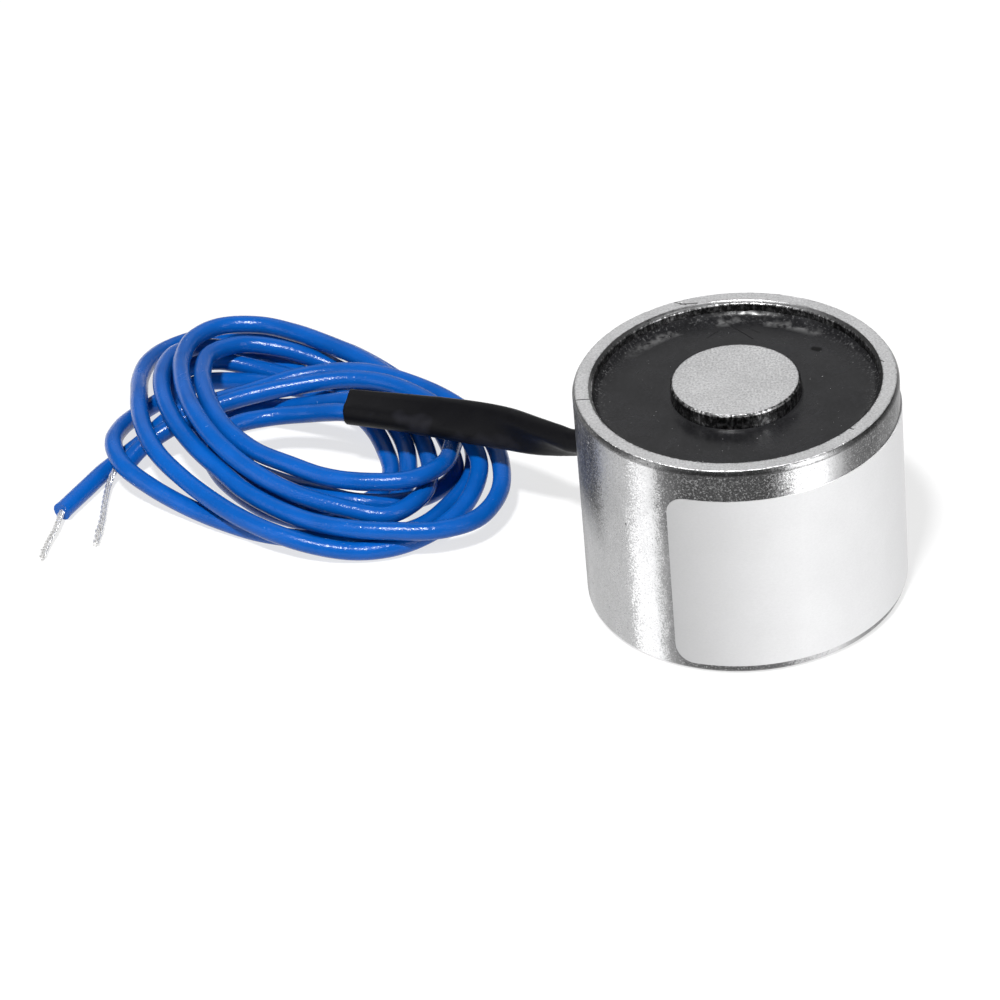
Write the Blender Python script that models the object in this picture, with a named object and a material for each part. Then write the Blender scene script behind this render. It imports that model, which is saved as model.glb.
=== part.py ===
"""Round holding electromagnet, 20 mm across and 15 mm tall, with two flying leads.

A turned steel cup holds a steel pole with a bobbin, its copper winding and a cast
resin fill around it. Two insulated leads are soldered to the winding's ends inside
the cup, leave through a drilled hole in its wall inside one flattened sleeve, and
lie in loose loops behind the cup, with their stripped ends in front of the loops.

The origin is the centre of the cup's base, +Z runs along the pole to the working
face, and the side at -Y faces the viewer.
"""

import math

import bmesh
import bpy
import numpy as np
from mathutils import Matrix, Vector

MM = 0.001

# Clearances between pieces that seat in each other
SEAT_GAP = 0.05 * MM
SLEEVE_GAP = 0.04 * MM

# Steel cup
CUP_RADIUS = 10.0 * MM
CUP_HEIGHT = 15.0 * MM
CUP_WALL = 1.2 * MM
CUP_FLOOR = 2.5 * MM
CUP_BASE_ROUND = 0.5 * MM
CUP_INSIDE_ROUND = 0.3 * MM
RIM_CHAMFER_ACROSS = 0.18 * MM
RIM_CHAMFER_DOWN = 0.3 * MM
RIM_INNER_BREAK = 0.1 * MM

# Steel pole, pressed into the cup's floor and tapped M3 from below
POLE_SHARE_OF_CUP = 0.4
POLE_EDGE_BREAK = 0.1 * MM
SPIGOT_RADIUS = 3.0 * MM
SPIGOT_RECESS = 0.05 * MM
TAP_RADIUS = 1.25 * MM
TAP_DEPTH = 6.0 * MM
TAP_COUNTERSINK = 0.45 * MM
DRILL_POINT_ANGLE = math.radians(118.0)

# Cast resin, measured down from the working face, and its cover over the bobbin
RESIN_BELOW_POLE = 1.1 * MM
RESIN_BELOW_RIM = 0.7 * MM
RESIN_COVER = 1.45 * MM
RESIN_MENISCUS = 0.9 * MM
MENISCUS_SPREAD = 1.5
MENISCUS_STEEPNESS = 2
WINDOW_SIDE_ROOM = 1.1 * MM
WINDOW_END_ROOM = 2.8 * MM

# Insulated leads, their stranded conductors and how they lie inside the cup
LEAD_RADIUS = 0.6 * MM
CONDUCTOR_RADIUS = 0.36 * MM
TUCK_LENGTH = 5.0 * MM
TUCK_BEND = 0.85 * MM
TUCK_BEND_EASE = 0.255 * MM
TUCK_SIDE_ROOM = 0.12 * MM

# Joints between the leads and the winding's ends
JOINT_LENGTH = 3.0 * MM
JOINT_TUBE_WALL = 0.1 * MM
JOINT_TUBE_LAP = 0.8 * MM
TAIL_RADIUS = 0.12 * MM
TAIL_SPACE = 0.4 * MM
TAIL_RUN_IN = 0.6 * MM
TAIL_LEVEL_OUT = 1.08 * MM
TAIL_APPROACH = 1.5 * MM
TAIL_CLEAR_OF_TAPE = 0.18 * MM

# Moulded bobbin with its winding and tape
BOBBIN_TUBE_WALL = 0.6 * MM
FLANGE_THICKNESS = 0.6 * MM
FLANGE_OVERHANG = 0.83 * MM
FLANGE_EDGE_ROUND = 0.15 * MM
FLANGE_SLOT_WIDTH = 0.7 * MM
FLANGE_SLOT_DEPTH = 2.6 * MM
SLOT_CUT_HEIGHT = 0.9 * MM
TAPE_THICKNESS = 0.12 * MM

# Label wrapped on the cup; its angles run from the viewer's side towards +X
LABEL_THICKNESS = 0.1 * MM
LABEL_LEFT = math.radians(-30.5)
LABEL_RIGHT = math.radians(96.0)
LABEL_ABOVE_BASE = 0.7 * MM
LABEL_BELOW_RIM = 2.1 * MM
LABEL_CORNER = 1.2 * MM

# Lead hole in the cup's wall, at the far left of the cup
HOLE_ANGLE = math.radians(180.0 - 36.8)
HOLE_HEIGHT = 6.8 * MM
HOLE_SIDE_ROOM = 0.2 * MM

# Flattened sleeve over both leads; the roll turns the pair from one above the
# other at the hole to side by side at the free end
SLEEVE_WALL = 0.12 * MM
SLEEVE_ROLL_AT_HOLE = math.radians(105.0)
SLEEVE_ROLL_AT_END = math.radians(5.0)

# Centre line of the sleeve past the hole, read off the real lie of the leads
SLEEVE_ROUTE = [
    (-12.1, 9.0, 6.1),
    (-14.2, 10.7, 5.8),
    (-17.1, 12.7, 5.4),
    (-19.9, 14.5, 5.0),
    (-22.2, 15.9, 4.65),
    (-24.5, 17.2, 4.35),
]

# Loose loops of both leads, as one crowned ring
COIL_CENTRE_X = -27.0 * MM
COIL_CENTRE_Y = 18.3 * MM
COIL_INNER_RADIUS = 4.2 * MM
COIL_OUTER_RADIUS = 14.3 * MM
COIL_CROWN = 3.3 * MM
COIL_SHOULDER = 2.3 * MM
COIL_EDGE_ROUND = 0.6 * MM
COIL_CROWN_FROM_INSIDE = 3.5 * MM
COIL_CROWN_FROM_OUTSIDE = 2.5 * MM

# Where the leads drop into the loops, from the loops' inner side
COIL_ENTRY_ANGLE = math.radians(163.0)
LEAD_A_TO_COIL = [(4.4, -0.7, 3.7), (2.4, 0.4, 2.7), (0.7, 0.9, 1.9)]
LEAD_B_TO_COIL = [(4.4, -2.1, 3.5), (2.3, -1.3, 2.4), (0.2, -0.9, 1.6)]

# Free ends of the leads in front of the loops, from the loops' outer side
COIL_EXIT_ANGLE = math.radians(193.0)
LEAD_A_TAIL = [(-0.7, 1.3, 0.64), (-1.3, 0.4, 0.64), (-1.9, -0.5, 0.64), (-2.5, -1.4, 0.64)]
TIP_A_ROUTE = [(-2.6, -1.8, 0.55), (-3.0, -3.3, 0.42), (-3.4, -4.9, 0.40), (-3.6, -6.5, 0.40)]
TIP_B_ROUTE = [(0.0, -1.5, 0.50), (-0.1, -2.8, 0.42), (-0.2, -4.1, 0.40), (-0.2, -5.4, 0.40)]

# Facets
BODY_SEGMENTS = 96
INNER_SEGMENTS = 64
COIL_SEGMENTS = 48
DRILL_SEGMENTS = 32
TUBE_SIDES = 16
CORNER_STEPS = 4
SMALL_CORNER_STEPS = 2
ARC_STEPS = 5
CURVE_STEPS = 24
POINT_SPACING = 2.5 * LEAD_RADIUS

# Sizes that follow from the ones above
CUP_INNER_RADIUS = CUP_RADIUS - CUP_WALL
POLE_RADIUS = CUP_RADIUS * POLE_SHARE_OF_CUP
SPIGOT_BORE_RADIUS = SPIGOT_RADIUS + SEAT_GAP
RESIN_LEVEL_AT_POLE = CUP_HEIGHT - RESIN_BELOW_POLE
RESIN_LEVEL_AT_WALL = CUP_HEIGHT - RESIN_BELOW_RIM
TUBING_BORE_RADIUS = LEAD_RADIUS + SLEEVE_GAP
TUBING_RADIUS = TUBING_BORE_RADIUS + JOINT_TUBE_WALL
TUCK_RADIUS = CUP_INNER_RADIUS - TUCK_SIDE_ROOM - TUBING_RADIUS
TAPE_RADIUS = TUCK_RADIUS - TUBING_RADIUS - TUCK_SIDE_ROOM
TAPE_BORE_RADIUS = TAPE_RADIUS - TAPE_THICKNESS
WINDING_RADIUS = TAPE_BORE_RADIUS - SEAT_GAP
FLANGE_RADIUS = TAPE_RADIUS + FLANGE_OVERHANG
BOBBIN_BOTTOM = CUP_FLOOR + SEAT_GAP
BOBBIN_TOP = RESIN_LEVEL_AT_POLE - RESIN_COVER - SEAT_GAP
BOBBIN_BORE_RADIUS = POLE_RADIUS + SEAT_GAP
BOBBIN_TUBE_RADIUS = BOBBIN_BORE_RADIUS + BOBBIN_TUBE_WALL
WINDING_BORE_RADIUS = BOBBIN_TUBE_RADIUS + SEAT_GAP
WINDING_BOTTOM = BOBBIN_BOTTOM + FLANGE_THICKNESS + SEAT_GAP
WINDING_TOP = BOBBIN_TOP - FLANGE_THICKNESS - TAIL_SPACE
SLOT_LENGTH = TUCK_LENGTH + JOINT_LENGTH + TAIL_RUN_IN
LEAD_SPREAD = LEAD_RADIUS + SLEEVE_GAP
SLEEVE_BORE = LEAD_RADIUS + SLEEVE_GAP
SLEEVE_OUTER = SLEEVE_BORE + SLEEVE_WALL
HOLE_RADIUS = LEAD_SPREAD + SLEEVE_OUTER + HOLE_SIDE_ROOM
HOLE_DIRECTION = Vector((math.cos(HOLE_ANGLE), math.sin(HOLE_ANGLE), 0.0))
COIL_CENTRE = Vector((COIL_CENTRE_X, COIL_CENTRE_Y, 0.0))


def clear_scene():
    """Remove every object, so that the file holds only this model."""
    for item in list(bpy.data.objects):
        bpy.data.objects.remove(item, do_unlink=True)


def make_material(name, colour, roughness, metallic=0.0):
    """Return a Principled material of one colour."""
    material = bpy.data.materials.new(name)
    material.use_nodes = True
    shader = material.node_tree.nodes["Principled BSDF"]
    shader.inputs["Base Color"].default_value = (*colour, 1.0)
    shader.inputs["Roughness"].default_value = roughness
    shader.inputs["Metallic"].default_value = metallic
    return material


def add_object(name, data, material):
    """Link a mesh or curve into the scene as the named piece."""
    piece = bpy.data.objects.new(name, data)
    bpy.context.collection.objects.link(piece)
    data.materials.append(material)
    return piece


def finish_mesh(name, bm, material, sharp=math.radians(30.0)):
    """Turn a bmesh into a smooth-shaded piece with its hard edges kept."""
    bmesh.ops.recalc_face_normals(bm, faces=bm.faces)
    mesh = bpy.data.meshes.new(name)
    bm.to_mesh(mesh)
    bm.free()
    mesh.shade_smooth()
    mesh.set_sharp_from_angle(angle=sharp)
    return add_object(name, mesh, material)


def arc(centre_r, centre_z, radius, start, end, steps=CORNER_STEPS):
    """Points of a profile's round corner, with its angles in degrees."""
    turn = [math.radians(start + (end - start) * step / steps) for step in range(steps + 1)]
    return [(centre_r + radius * math.cos(a), centre_z + radius * math.sin(a)) for a in turn]


def turned(name, profile, segments, material, closed=True):
    """Spin a profile of (radius, height) points about Z into one solid.

    An open profile starts and ends on the axis; a closed one clears it.
    """
    bm = bmesh.new()
    verts = [bm.verts.new((radius, 0.0, height)) for radius, height in profile]
    pairs = list(zip(verts, verts[1:]))
    if closed:
        pairs.append((verts[-1], verts[0]))
    edges = [bm.edges.new(pair) for pair in pairs]
    bmesh.ops.spin(bm, geom=verts + edges, axis=(0, 0, 1), cent=(0, 0, 0),
                   angle=math.tau, steps=segments, use_merge=True)
    bmesh.ops.remove_doubles(bm, verts=bm.verts, dist=0.0005 * MM)
    return finish_mesh(name, bm, material)


def cut(piece, cutter):
    """Subtract a cutter from a piece and leave the cutter as a wire guide."""
    modifier = piece.modifiers.new("cut_" + cutter.name, "BOOLEAN")
    modifier.operation = "DIFFERENCE"
    modifier.solver = "EXACT"
    modifier.object = cutter
    cutter.hide_render = True
    cutter.display_type = "WIRE"


def radial_point(radius, angle, height):
    """A point given by its distance from the axis, its angle and its height."""
    return Vector((radius * math.cos(angle), radius * math.sin(angle), height))


def smooth_route(points, spacing):
    """Read evenly spaced points off a smooth curve through the route's own points."""
    ends = [points[0] * 2 - points[1]] + list(points) + [points[-1] * 2 - points[-2]]
    fine = []
    for before, start, end, after in zip(ends, ends[1:], ends[2:], ends[3:]):
        for step in range(CURVE_STEPS):
            t = step / CURVE_STEPS
            fine.append(0.5 * (2 * start + (end - before) * t
                               + (2 * before - 5 * start + 4 * end - after) * t ** 2
                               + (3 * start - before - 3 * end + after) * t ** 3))
    fine.append(points[-1])
    lengths = np.cumsum([0.0] + [(far - near).length for near, far in zip(fine, fine[1:])])
    count = max(2, round(lengths[-1] / spacing) + 1)
    places = np.linspace(0.0, lengths[-1], count)
    columns = [np.interp(places, lengths, [point[axis] for point in fine]) for axis in range(3)]
    return [Vector(place) for place in zip(*columns)]


def round_tube(name, route, radius, material):
    """A curve with a round section and capped ends along a route."""
    curve = bpy.data.curves.new(name, "CURVE")
    curve.dimensions = "3D"
    curve.bevel_depth = radius
    curve.bevel_resolution = 2
    curve.use_fill_caps = True
    spline = curve.splines.new("POLY")
    spline.points.add(len(route) - 1)
    for point, place in zip(spline.points, route):
        point.co = (*place, 1.0)
    return add_object(name, curve, material)


def in_metres(points):
    """Route points given in millimetres as vectors in metres."""
    return [Vector(point) * MM for point in points]


def from_coil(points, radius, angle):
    """Route points given in millimetres from a place on the loops' inner or outer side."""
    place = COIL_CENTRE + radial_point(radius, angle, 0.0)
    return [place + point for point in in_metres(points)]


def stations_along(route, rolls):
    """Frames along a route: the width axis turned by a roll from level, and the centre."""
    frames = []
    for index, centre in enumerate(route):
        ahead = route[min(index + 1, len(route) - 1)] - route[max(index - 1, 0)]
        ahead.normalize()
        level = ahead.cross(Vector((0, 0, 1))).normalized()
        upright = level.cross(ahead)
        roll = rolls[index]
        width = level * math.cos(roll) + upright * math.sin(roll)
        depth = upright * math.cos(roll) - level * math.sin(roll)
        frames.append((centre, width, depth))
    return frames


def oval_ring(bm, frame, half_spread, radius):
    """A ring of points: two half circles, moved apart along the width axis."""
    centre, width, depth = frame
    verts = []
    for side in range(TUBE_SIDES):
        angle = math.tau * (side + 0.5) / TUBE_SIDES
        across = radius * math.cos(angle) + math.copysign(half_spread, math.cos(angle))
        verts.append(bm.verts.new(centre + width * across + depth * radius * math.sin(angle)))
    return verts


def hollow_tube(name, frames, half_spread, bore, outer, material):
    """An open-ended tube of round or flattened section, skinned out along and back inside."""
    bm = bmesh.new()
    rings = [oval_ring(bm, frame, half_spread, outer) for frame in frames]
    rings += [oval_ring(bm, frame, half_spread, bore) for frame in reversed(frames)]
    for near, far in zip(rings, rings[1:] + rings[:1]):
        for side in range(TUBE_SIDES):
            after = (side + 1) % TUBE_SIDES
            bm.faces.new((near[side], near[after], far[after], far[side]))
    return finish_mesh(name, bm, material)


def sleeve_route():
    """The sleeve's centre line, straight out of the hole and then as it lies."""
    start = CUP_INNER_RADIUS - SEAT_GAP
    straight = [HOLE_DIRECTION * start, HOLE_DIRECTION * CUP_RADIUS]
    points = [Vector((place.x, place.y, HOLE_HEIGHT)) for place in straight]
    return smooth_route(points + in_metres(SLEEVE_ROUTE), 2 * LEAD_RADIUS)


def sleeve_frames():
    """Frames along the sleeve, rolling evenly from the hole to the free end."""
    route = sleeve_route()
    last = len(route) - 1
    rolls = [SLEEVE_ROLL_AT_HOLE + (SLEEVE_ROLL_AT_END - SLEEVE_ROLL_AT_HOLE) * index / last
             for index in range(last + 1)]
    return stations_along(route, rolls)


def tuck_angle(length, side):
    """The angle of a place along the gap between tape and cup, from the lead hole."""
    return HOLE_ANGLE - side * length / TUCK_RADIUS


def tuck_height(side):
    """The height at which a lead runs round inside the cup."""
    first = sleeve_frames()[0]
    return (first[0] + first[1] * side * LEAD_SPREAD).z


def gap_arc(start, end, side, height):
    """Points along the gap between tape and cup, from one distance to another."""
    places = [start + (end - start) * step / ARC_STEPS for step in range(ARC_STEPS + 1)]
    return [radial_point(TUCK_RADIUS, tuck_angle(place, side), height) for place in places]


def lead_route(side, to_coil):
    """A lead from its joint, round the gap, out through the sleeve and to the loops."""
    height = tuck_height(side)
    tuck = gap_arc(TUCK_LENGTH, TUCK_BEND, side, height)
    corner = radial_point(TUCK_RADIUS + TUCK_BEND_EASE, tuck_angle(TUCK_BEND_EASE, side), height)
    sleeved = [centre + width * side * LEAD_SPREAD for centre, width, depth in sleeve_frames()]
    entry = from_coil(to_coil, COIL_INNER_RADIUS, COIL_ENTRY_ANGLE)
    free = smooth_route([sleeved[-1]] + entry, POINT_SPACING)
    return tuck + [corner] + sleeved + free[1:]


def make_cup(steel):
    """The turned cup, bored for the pole's spigot and drilled for the leads."""
    top = CUP_HEIGHT
    profile = [(SPIGOT_BORE_RADIUS, 0.0)]
    profile += arc(CUP_RADIUS - CUP_BASE_ROUND, CUP_BASE_ROUND, CUP_BASE_ROUND, -90, 0)
    profile += [
        (CUP_RADIUS, top - RIM_CHAMFER_DOWN),
        (CUP_RADIUS - RIM_CHAMFER_ACROSS, top),
        (CUP_INNER_RADIUS + RIM_INNER_BREAK, top),
        (CUP_INNER_RADIUS, top - RIM_INNER_BREAK),
    ]
    profile += arc(CUP_INNER_RADIUS - CUP_INSIDE_ROUND, CUP_FLOOR + CUP_INSIDE_ROUND,
                   CUP_INSIDE_ROUND, 0, -90)
    profile += [(SPIGOT_BORE_RADIUS, CUP_FLOOR)]
    cup = turned("cup_shell", profile, BODY_SEGMENTS, steel)
    drill_start = HOLE_DIRECTION * (CUP_INNER_RADIUS - CUP_WALL)
    drill_length = 3 * CUP_WALL
    centre = drill_start + HOLE_DIRECTION * drill_length / 2 + Vector((0, 0, HOLE_HEIGHT))
    turn = Vector((0, 0, 1)).rotation_difference(HOLE_DIRECTION).to_matrix().to_4x4()
    bm = bmesh.new()
    bmesh.ops.create_cone(bm, cap_ends=True, segments=DRILL_SEGMENTS, radius1=HOLE_RADIUS,
                          radius2=HOLE_RADIUS, depth=drill_length,
                          matrix=Matrix.Translation(centre) @ turn)
    cut(cup, finish_mesh("lead_drill", bm, steel))


def make_pole(steel):
    """The pole with its spigot and the tapped hole in its lower end."""
    mouth = SPIGOT_RECESS
    tip = mouth + TAP_DEPTH
    point_depth = TAP_RADIUS / math.tan(DRILL_POINT_ANGLE / 2)
    seat = CUP_FLOOR + SEAT_GAP
    profile = [
        (0.0, CUP_HEIGHT),
        (POLE_RADIUS - POLE_EDGE_BREAK, CUP_HEIGHT),
        (POLE_RADIUS, CUP_HEIGHT - POLE_EDGE_BREAK),
        (POLE_RADIUS, seat),
        (SPIGOT_RADIUS, seat),
        (SPIGOT_RADIUS, mouth),
        (TAP_RADIUS + TAP_COUNTERSINK, mouth),
        (TAP_RADIUS, mouth + TAP_COUNTERSINK),
        (TAP_RADIUS, tip),
        (0.0, tip + point_depth),
    ]
    turned("pole_core", profile, INNER_SEGMENTS, steel, closed=False)


def make_bobbin(nylon):
    """The bobbin, with a slot in its upper flange for each end of the winding."""
    edge = FLANGE_EDGE_ROUND
    rim = FLANGE_RADIUS - edge
    profile = []
    for low in (BOBBIN_BOTTOM, BOBBIN_TOP - FLANGE_THICKNESS):
        high = low + FLANGE_THICKNESS
        flange = arc(rim, low + edge, edge, -90, 0, SMALL_CORNER_STEPS)
        flange += arc(rim, high - edge, edge, 0, 90, SMALL_CORNER_STEPS)
        if low == BOBBIN_BOTTOM:
            profile += [(BOBBIN_BORE_RADIUS, low)] + flange + [(BOBBIN_TUBE_RADIUS, high)]
        else:
            profile += [(BOBBIN_TUBE_RADIUS, low)] + flange + [(BOBBIN_BORE_RADIUS, high)]
    bobbin = turned("bobbin", profile, INNER_SEGMENTS, nylon)
    for side, name in ((1, "slot_a"), (-1, "slot_b")):
        angle = tuck_angle(SLOT_LENGTH, side)
        middle = radial_point(FLANGE_RADIUS, angle, BOBBIN_TOP - FLANGE_THICKNESS / 2)
        size = (FLANGE_SLOT_DEPTH * 2, FLANGE_SLOT_WIDTH, SLOT_CUT_HEIGHT, 1.0)
        place = Matrix.Translation(middle) @ Matrix.Rotation(angle, 4, "Z")
        bm = bmesh.new()
        bmesh.ops.create_cube(bm, size=1.0, matrix=place @ Matrix.Diagonal(size))
        cut(bobbin, finish_mesh(name, bm, nylon))


def make_winding(copper, polyester):
    """The copper winding and the tape around it."""
    for name, bore, outer, material in (
            ("coil_winding", WINDING_BORE_RADIUS, WINDING_RADIUS, copper),
            ("winding_tape", TAPE_BORE_RADIUS, TAPE_RADIUS, polyester)):
        profile = [(bore, WINDING_BOTTOM), (outer, WINDING_BOTTOM),
                   (outer, WINDING_TOP), (bore, WINDING_TOP)]
        turned(name, profile, INNER_SEGMENTS, material)


def make_resin(resin):
    """The cast resin over the bobbin and down its sides, open where the joints lie."""
    inner = POLE_RADIUS + SEAT_GAP
    outer = CUP_INNER_RADIUS - SEAT_GAP
    skirt = FLANGE_RADIUS + SEAT_GAP
    foot = BOBBIN_BOTTOM + CUP_INSIDE_ROUND
    rise = RESIN_LEVEL_AT_WALL - RESIN_LEVEL_AT_POLE
    meniscus = []
    for step in range(CORNER_STEPS + 1):
        share = 1 - (step / CORNER_STEPS) ** MENISCUS_SPREAD
        meniscus.append((outer - RESIN_MENISCUS * (1 - share),
                         RESIN_LEVEL_AT_POLE + rise * share ** MENISCUS_STEEPNESS))
    profile = [(inner, BOBBIN_TOP + SEAT_GAP), (skirt, BOBBIN_TOP + SEAT_GAP),
               (skirt, foot), (outer, foot)]
    profile += meniscus + [(inner, RESIN_LEVEL_AT_POLE)]
    fill = turned("resin_fill", profile, BODY_SEGMENTS, resin)
    half_angle = (TUCK_LENGTH + JOINT_LENGTH + WINDOW_END_ROOM) / TUCK_RADIUS
    half_height = LEAD_SPREAD + TUBING_RADIUS + WINDOW_SIDE_ROOM
    low = HOLE_HEIGHT - half_height
    high = HOLE_HEIGHT + half_height
    corners = [(TAPE_RADIUS, low), (CUP_RADIUS, low), (CUP_RADIUS, high), (TAPE_RADIUS, high)]
    bm = bmesh.new()
    start = HOLE_ANGLE - half_angle
    face = bm.faces.new([bm.verts.new(radial_point(radius, start, height))
                         for radius, height in corners])
    bmesh.ops.spin(bm, geom=[face], axis=(0, 0, 1), cent=(0, 0, 0),
                   angle=2 * half_angle, steps=INNER_SEGMENTS // 2)
    cut(fill, finish_mesh("joint_window", bm, resin))


def make_label(paper):
    """The bare label: a flat outline with round corners, wrapped round the cup."""
    inner = CUP_RADIUS + SEAT_GAP
    width = (LABEL_RIGHT - LABEL_LEFT) * inner
    top = CUP_HEIGHT - LABEL_BELOW_RIM
    height = top - LABEL_ABOVE_BASE
    bm = bmesh.new()
    bmesh.ops.create_grid(bm, x_segments=1, y_segments=1, size=0.5,
                          matrix=Matrix.Diagonal((width, height, 1.0, 1.0)))
    bmesh.ops.bevel(bm, geom=bm.verts[:], offset=LABEL_CORNER, offset_type="OFFSET",
                    segments=CORNER_STEPS, profile=0.5, affect="VERTICES", material=-1)
    lines = round((LABEL_RIGHT - LABEL_LEFT) / math.tau * BODY_SEGMENTS)
    for line in range(1, lines):
        across = -width / 2 + width * line / lines
        bmesh.ops.bisect_plane(bm, geom=bm.verts[:] + bm.edges[:] + bm.faces[:],
                               plane_co=(across, 0, 0), plane_no=(1, 0, 0))
    front = bmesh.ops.extrude_face_region(bm, geom=bm.faces[:])
    raised = [item for item in front["geom"] if isinstance(item, bmesh.types.BMVert)]
    bmesh.ops.translate(bm, verts=raised, vec=(0, 0, LABEL_THICKNESS))
    for vert in bm.verts:
        around = (LABEL_LEFT + LABEL_RIGHT) / 2 + vert.co.x / inner
        radius = inner + vert.co.z
        level = (LABEL_ABOVE_BASE + top) / 2 + vert.co.y
        vert.co = (radius * math.sin(around), -radius * math.cos(around), level)
    finish_mesh("label", bm, paper)


def make_leads(pvc):
    """Both insulated leads, from their joints inside the cup to the loops."""
    round_tube("lead_a", lead_route(1, LEAD_A_TO_COIL), LEAD_RADIUS, pvc)
    round_tube("lead_b", lead_route(-1, LEAD_B_TO_COIL), LEAD_RADIUS, pvc)


def make_sleeve(shrink):
    """The flattened shrink sleeve that binds both leads."""
    hollow_tube("lead_sleeve", sleeve_frames(), LEAD_SPREAD, SLEEVE_BORE, SLEEVE_OUTER, shrink)


def make_joint(side, name, solder, tubing, copper):
    """The soldered end of one lead, its tubing and the winding's end that meets it."""
    height = tuck_height(side)
    start = TUCK_LENGTH + SEAT_GAP
    end = start + JOINT_LENGTH
    round_tube("solder_joint_" + name, gap_arc(start, end, side, height),
               CONDUCTOR_RADIUS, solder)
    covered = gap_arc(start - JOINT_TUBE_LAP, end + JOINT_TUBE_LAP, side, height)
    frames = stations_along(covered, [0.0] * len(covered))
    hollow_tube("joint_tubing_" + name, frames, 0.0, TUBING_BORE_RADIUS, TUBING_RADIUS, tubing)
    slot = tuck_angle(SLOT_LENGTH, side)
    level = WINDING_TOP + TAIL_SPACE / 2
    outside = TAPE_RADIUS + TAIL_RADIUS + TAIL_CLEAR_OF_TAPE
    meet = end + SEAT_GAP
    tail = [
        radial_point(WINDING_BORE_RADIUS + TAIL_SPACE, slot, level),
        radial_point(WINDING_RADIUS, slot, level),
        radial_point(outside, slot, level - TAIL_RADIUS),
        radial_point(outside, slot, level - TAIL_SPACE * 2),
        radial_point(outside, tuck_angle(meet + TAIL_APPROACH, side), height + TUBING_RADIUS * 2),
        radial_point(TUCK_RADIUS, tuck_angle(meet + TAIL_LEVEL_OUT, side), height),
        radial_point(TUCK_RADIUS, tuck_angle(meet, side), height),
    ]
    round_tube("winding_tail_" + name, tail, TAIL_RADIUS, copper)


def make_loops(pvc):
    """The loose loops of both leads, as one crowned ring on the surface."""
    edge = COIL_EDGE_ROUND
    inner = COIL_INNER_RADIUS
    outer = COIL_OUTER_RADIUS
    crown_in = inner + COIL_CROWN_FROM_INSIDE
    crown_out = outer - COIL_CROWN_FROM_OUTSIDE
    profile = arc(inner + edge, edge, edge, 180, 270, SMALL_CORNER_STEPS)
    profile += arc(outer - edge, edge, edge, -90, 0, SMALL_CORNER_STEPS)
    profile += [(outer, COIL_SHOULDER), (crown_out, COIL_CROWN), (crown_in, COIL_CROWN),
                (inner, COIL_SHOULDER)]
    ring = turned("lead_loops", profile, COIL_SEGMENTS, pvc)
    ring.location = COIL_CENTRE


def make_tails(pvc, tinned):
    """The leads' free ends in front of the loops, with their stripped strands."""
    for name, route, radius, material in (
            ("lead_a_tail", LEAD_A_TAIL, LEAD_RADIUS, pvc),
            ("stripped_end_a", TIP_A_ROUTE, CONDUCTOR_RADIUS, tinned),
            ("stripped_end_b", TIP_B_ROUTE, CONDUCTOR_RADIUS, tinned)):
        places = from_coil(route, COIL_OUTER_RADIUS, COIL_EXIT_ANGLE)
        round_tube(name, smooth_route(places, POINT_SPACING), radius, material)


def main():
    """Build the electromagnet."""
    clear_scene()
    steel = make_material("plated_steel", (0.62, 0.62, 0.63), 0.32, 1.0)
    resin = make_material("black_resin", (0.02, 0.02, 0.022), 0.35)
    nylon = make_material("natural_nylon", (0.75, 0.72, 0.62), 0.5)
    copper = make_material("copper_wire", (0.72, 0.33, 0.15), 0.3, 1.0)
    polyester = make_material("polyester_tape", (0.75, 0.6, 0.2), 0.4)
    paper = make_material("silver_label", (0.72, 0.72, 0.74), 0.42)
    pvc = make_material("blue_pvc", (0.0, 0.09, 0.5), 0.3)
    shrink = make_material("black_sleeve", (0.015, 0.015, 0.017), 0.55)
    solder = make_material("solder", (0.6, 0.6, 0.6), 0.35, 1.0)
    tinned = make_material("tinned_copper", (0.66, 0.64, 0.6), 0.3, 1.0)
    tubing = make_material("joint_tubing", (0.8, 0.8, 0.78), 0.5)
    make_cup(steel)
    make_pole(steel)
    make_bobbin(nylon)
    make_winding(copper, polyester)
    make_resin(resin)
    make_label(paper)
    make_sleeve(shrink)
    make_leads(pvc)
    make_joint(1, "a", solder, tubing, copper)
    make_joint(-1, "b", solder, tubing, copper)
    make_loops(pvc)
    make_tails(pvc, tinned)


main()
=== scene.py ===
"""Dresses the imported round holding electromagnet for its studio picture.

The CAD model gives the frame. Each operator below makes one piece or one group of
like pieces, in metres and in the frame's own place: the cup stands on the floor at the
origin, +Z runs along the pole, and -Y faces the camera.
"""

import math

import bmesh
import bpy
import numpy as np
from bpy.props import FloatProperty, FloatVectorProperty, IntProperty, PointerProperty
from bpy.types import Operator, Panel, PropertyGroup
from mathutils import Matrix, Vector, noise


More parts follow.
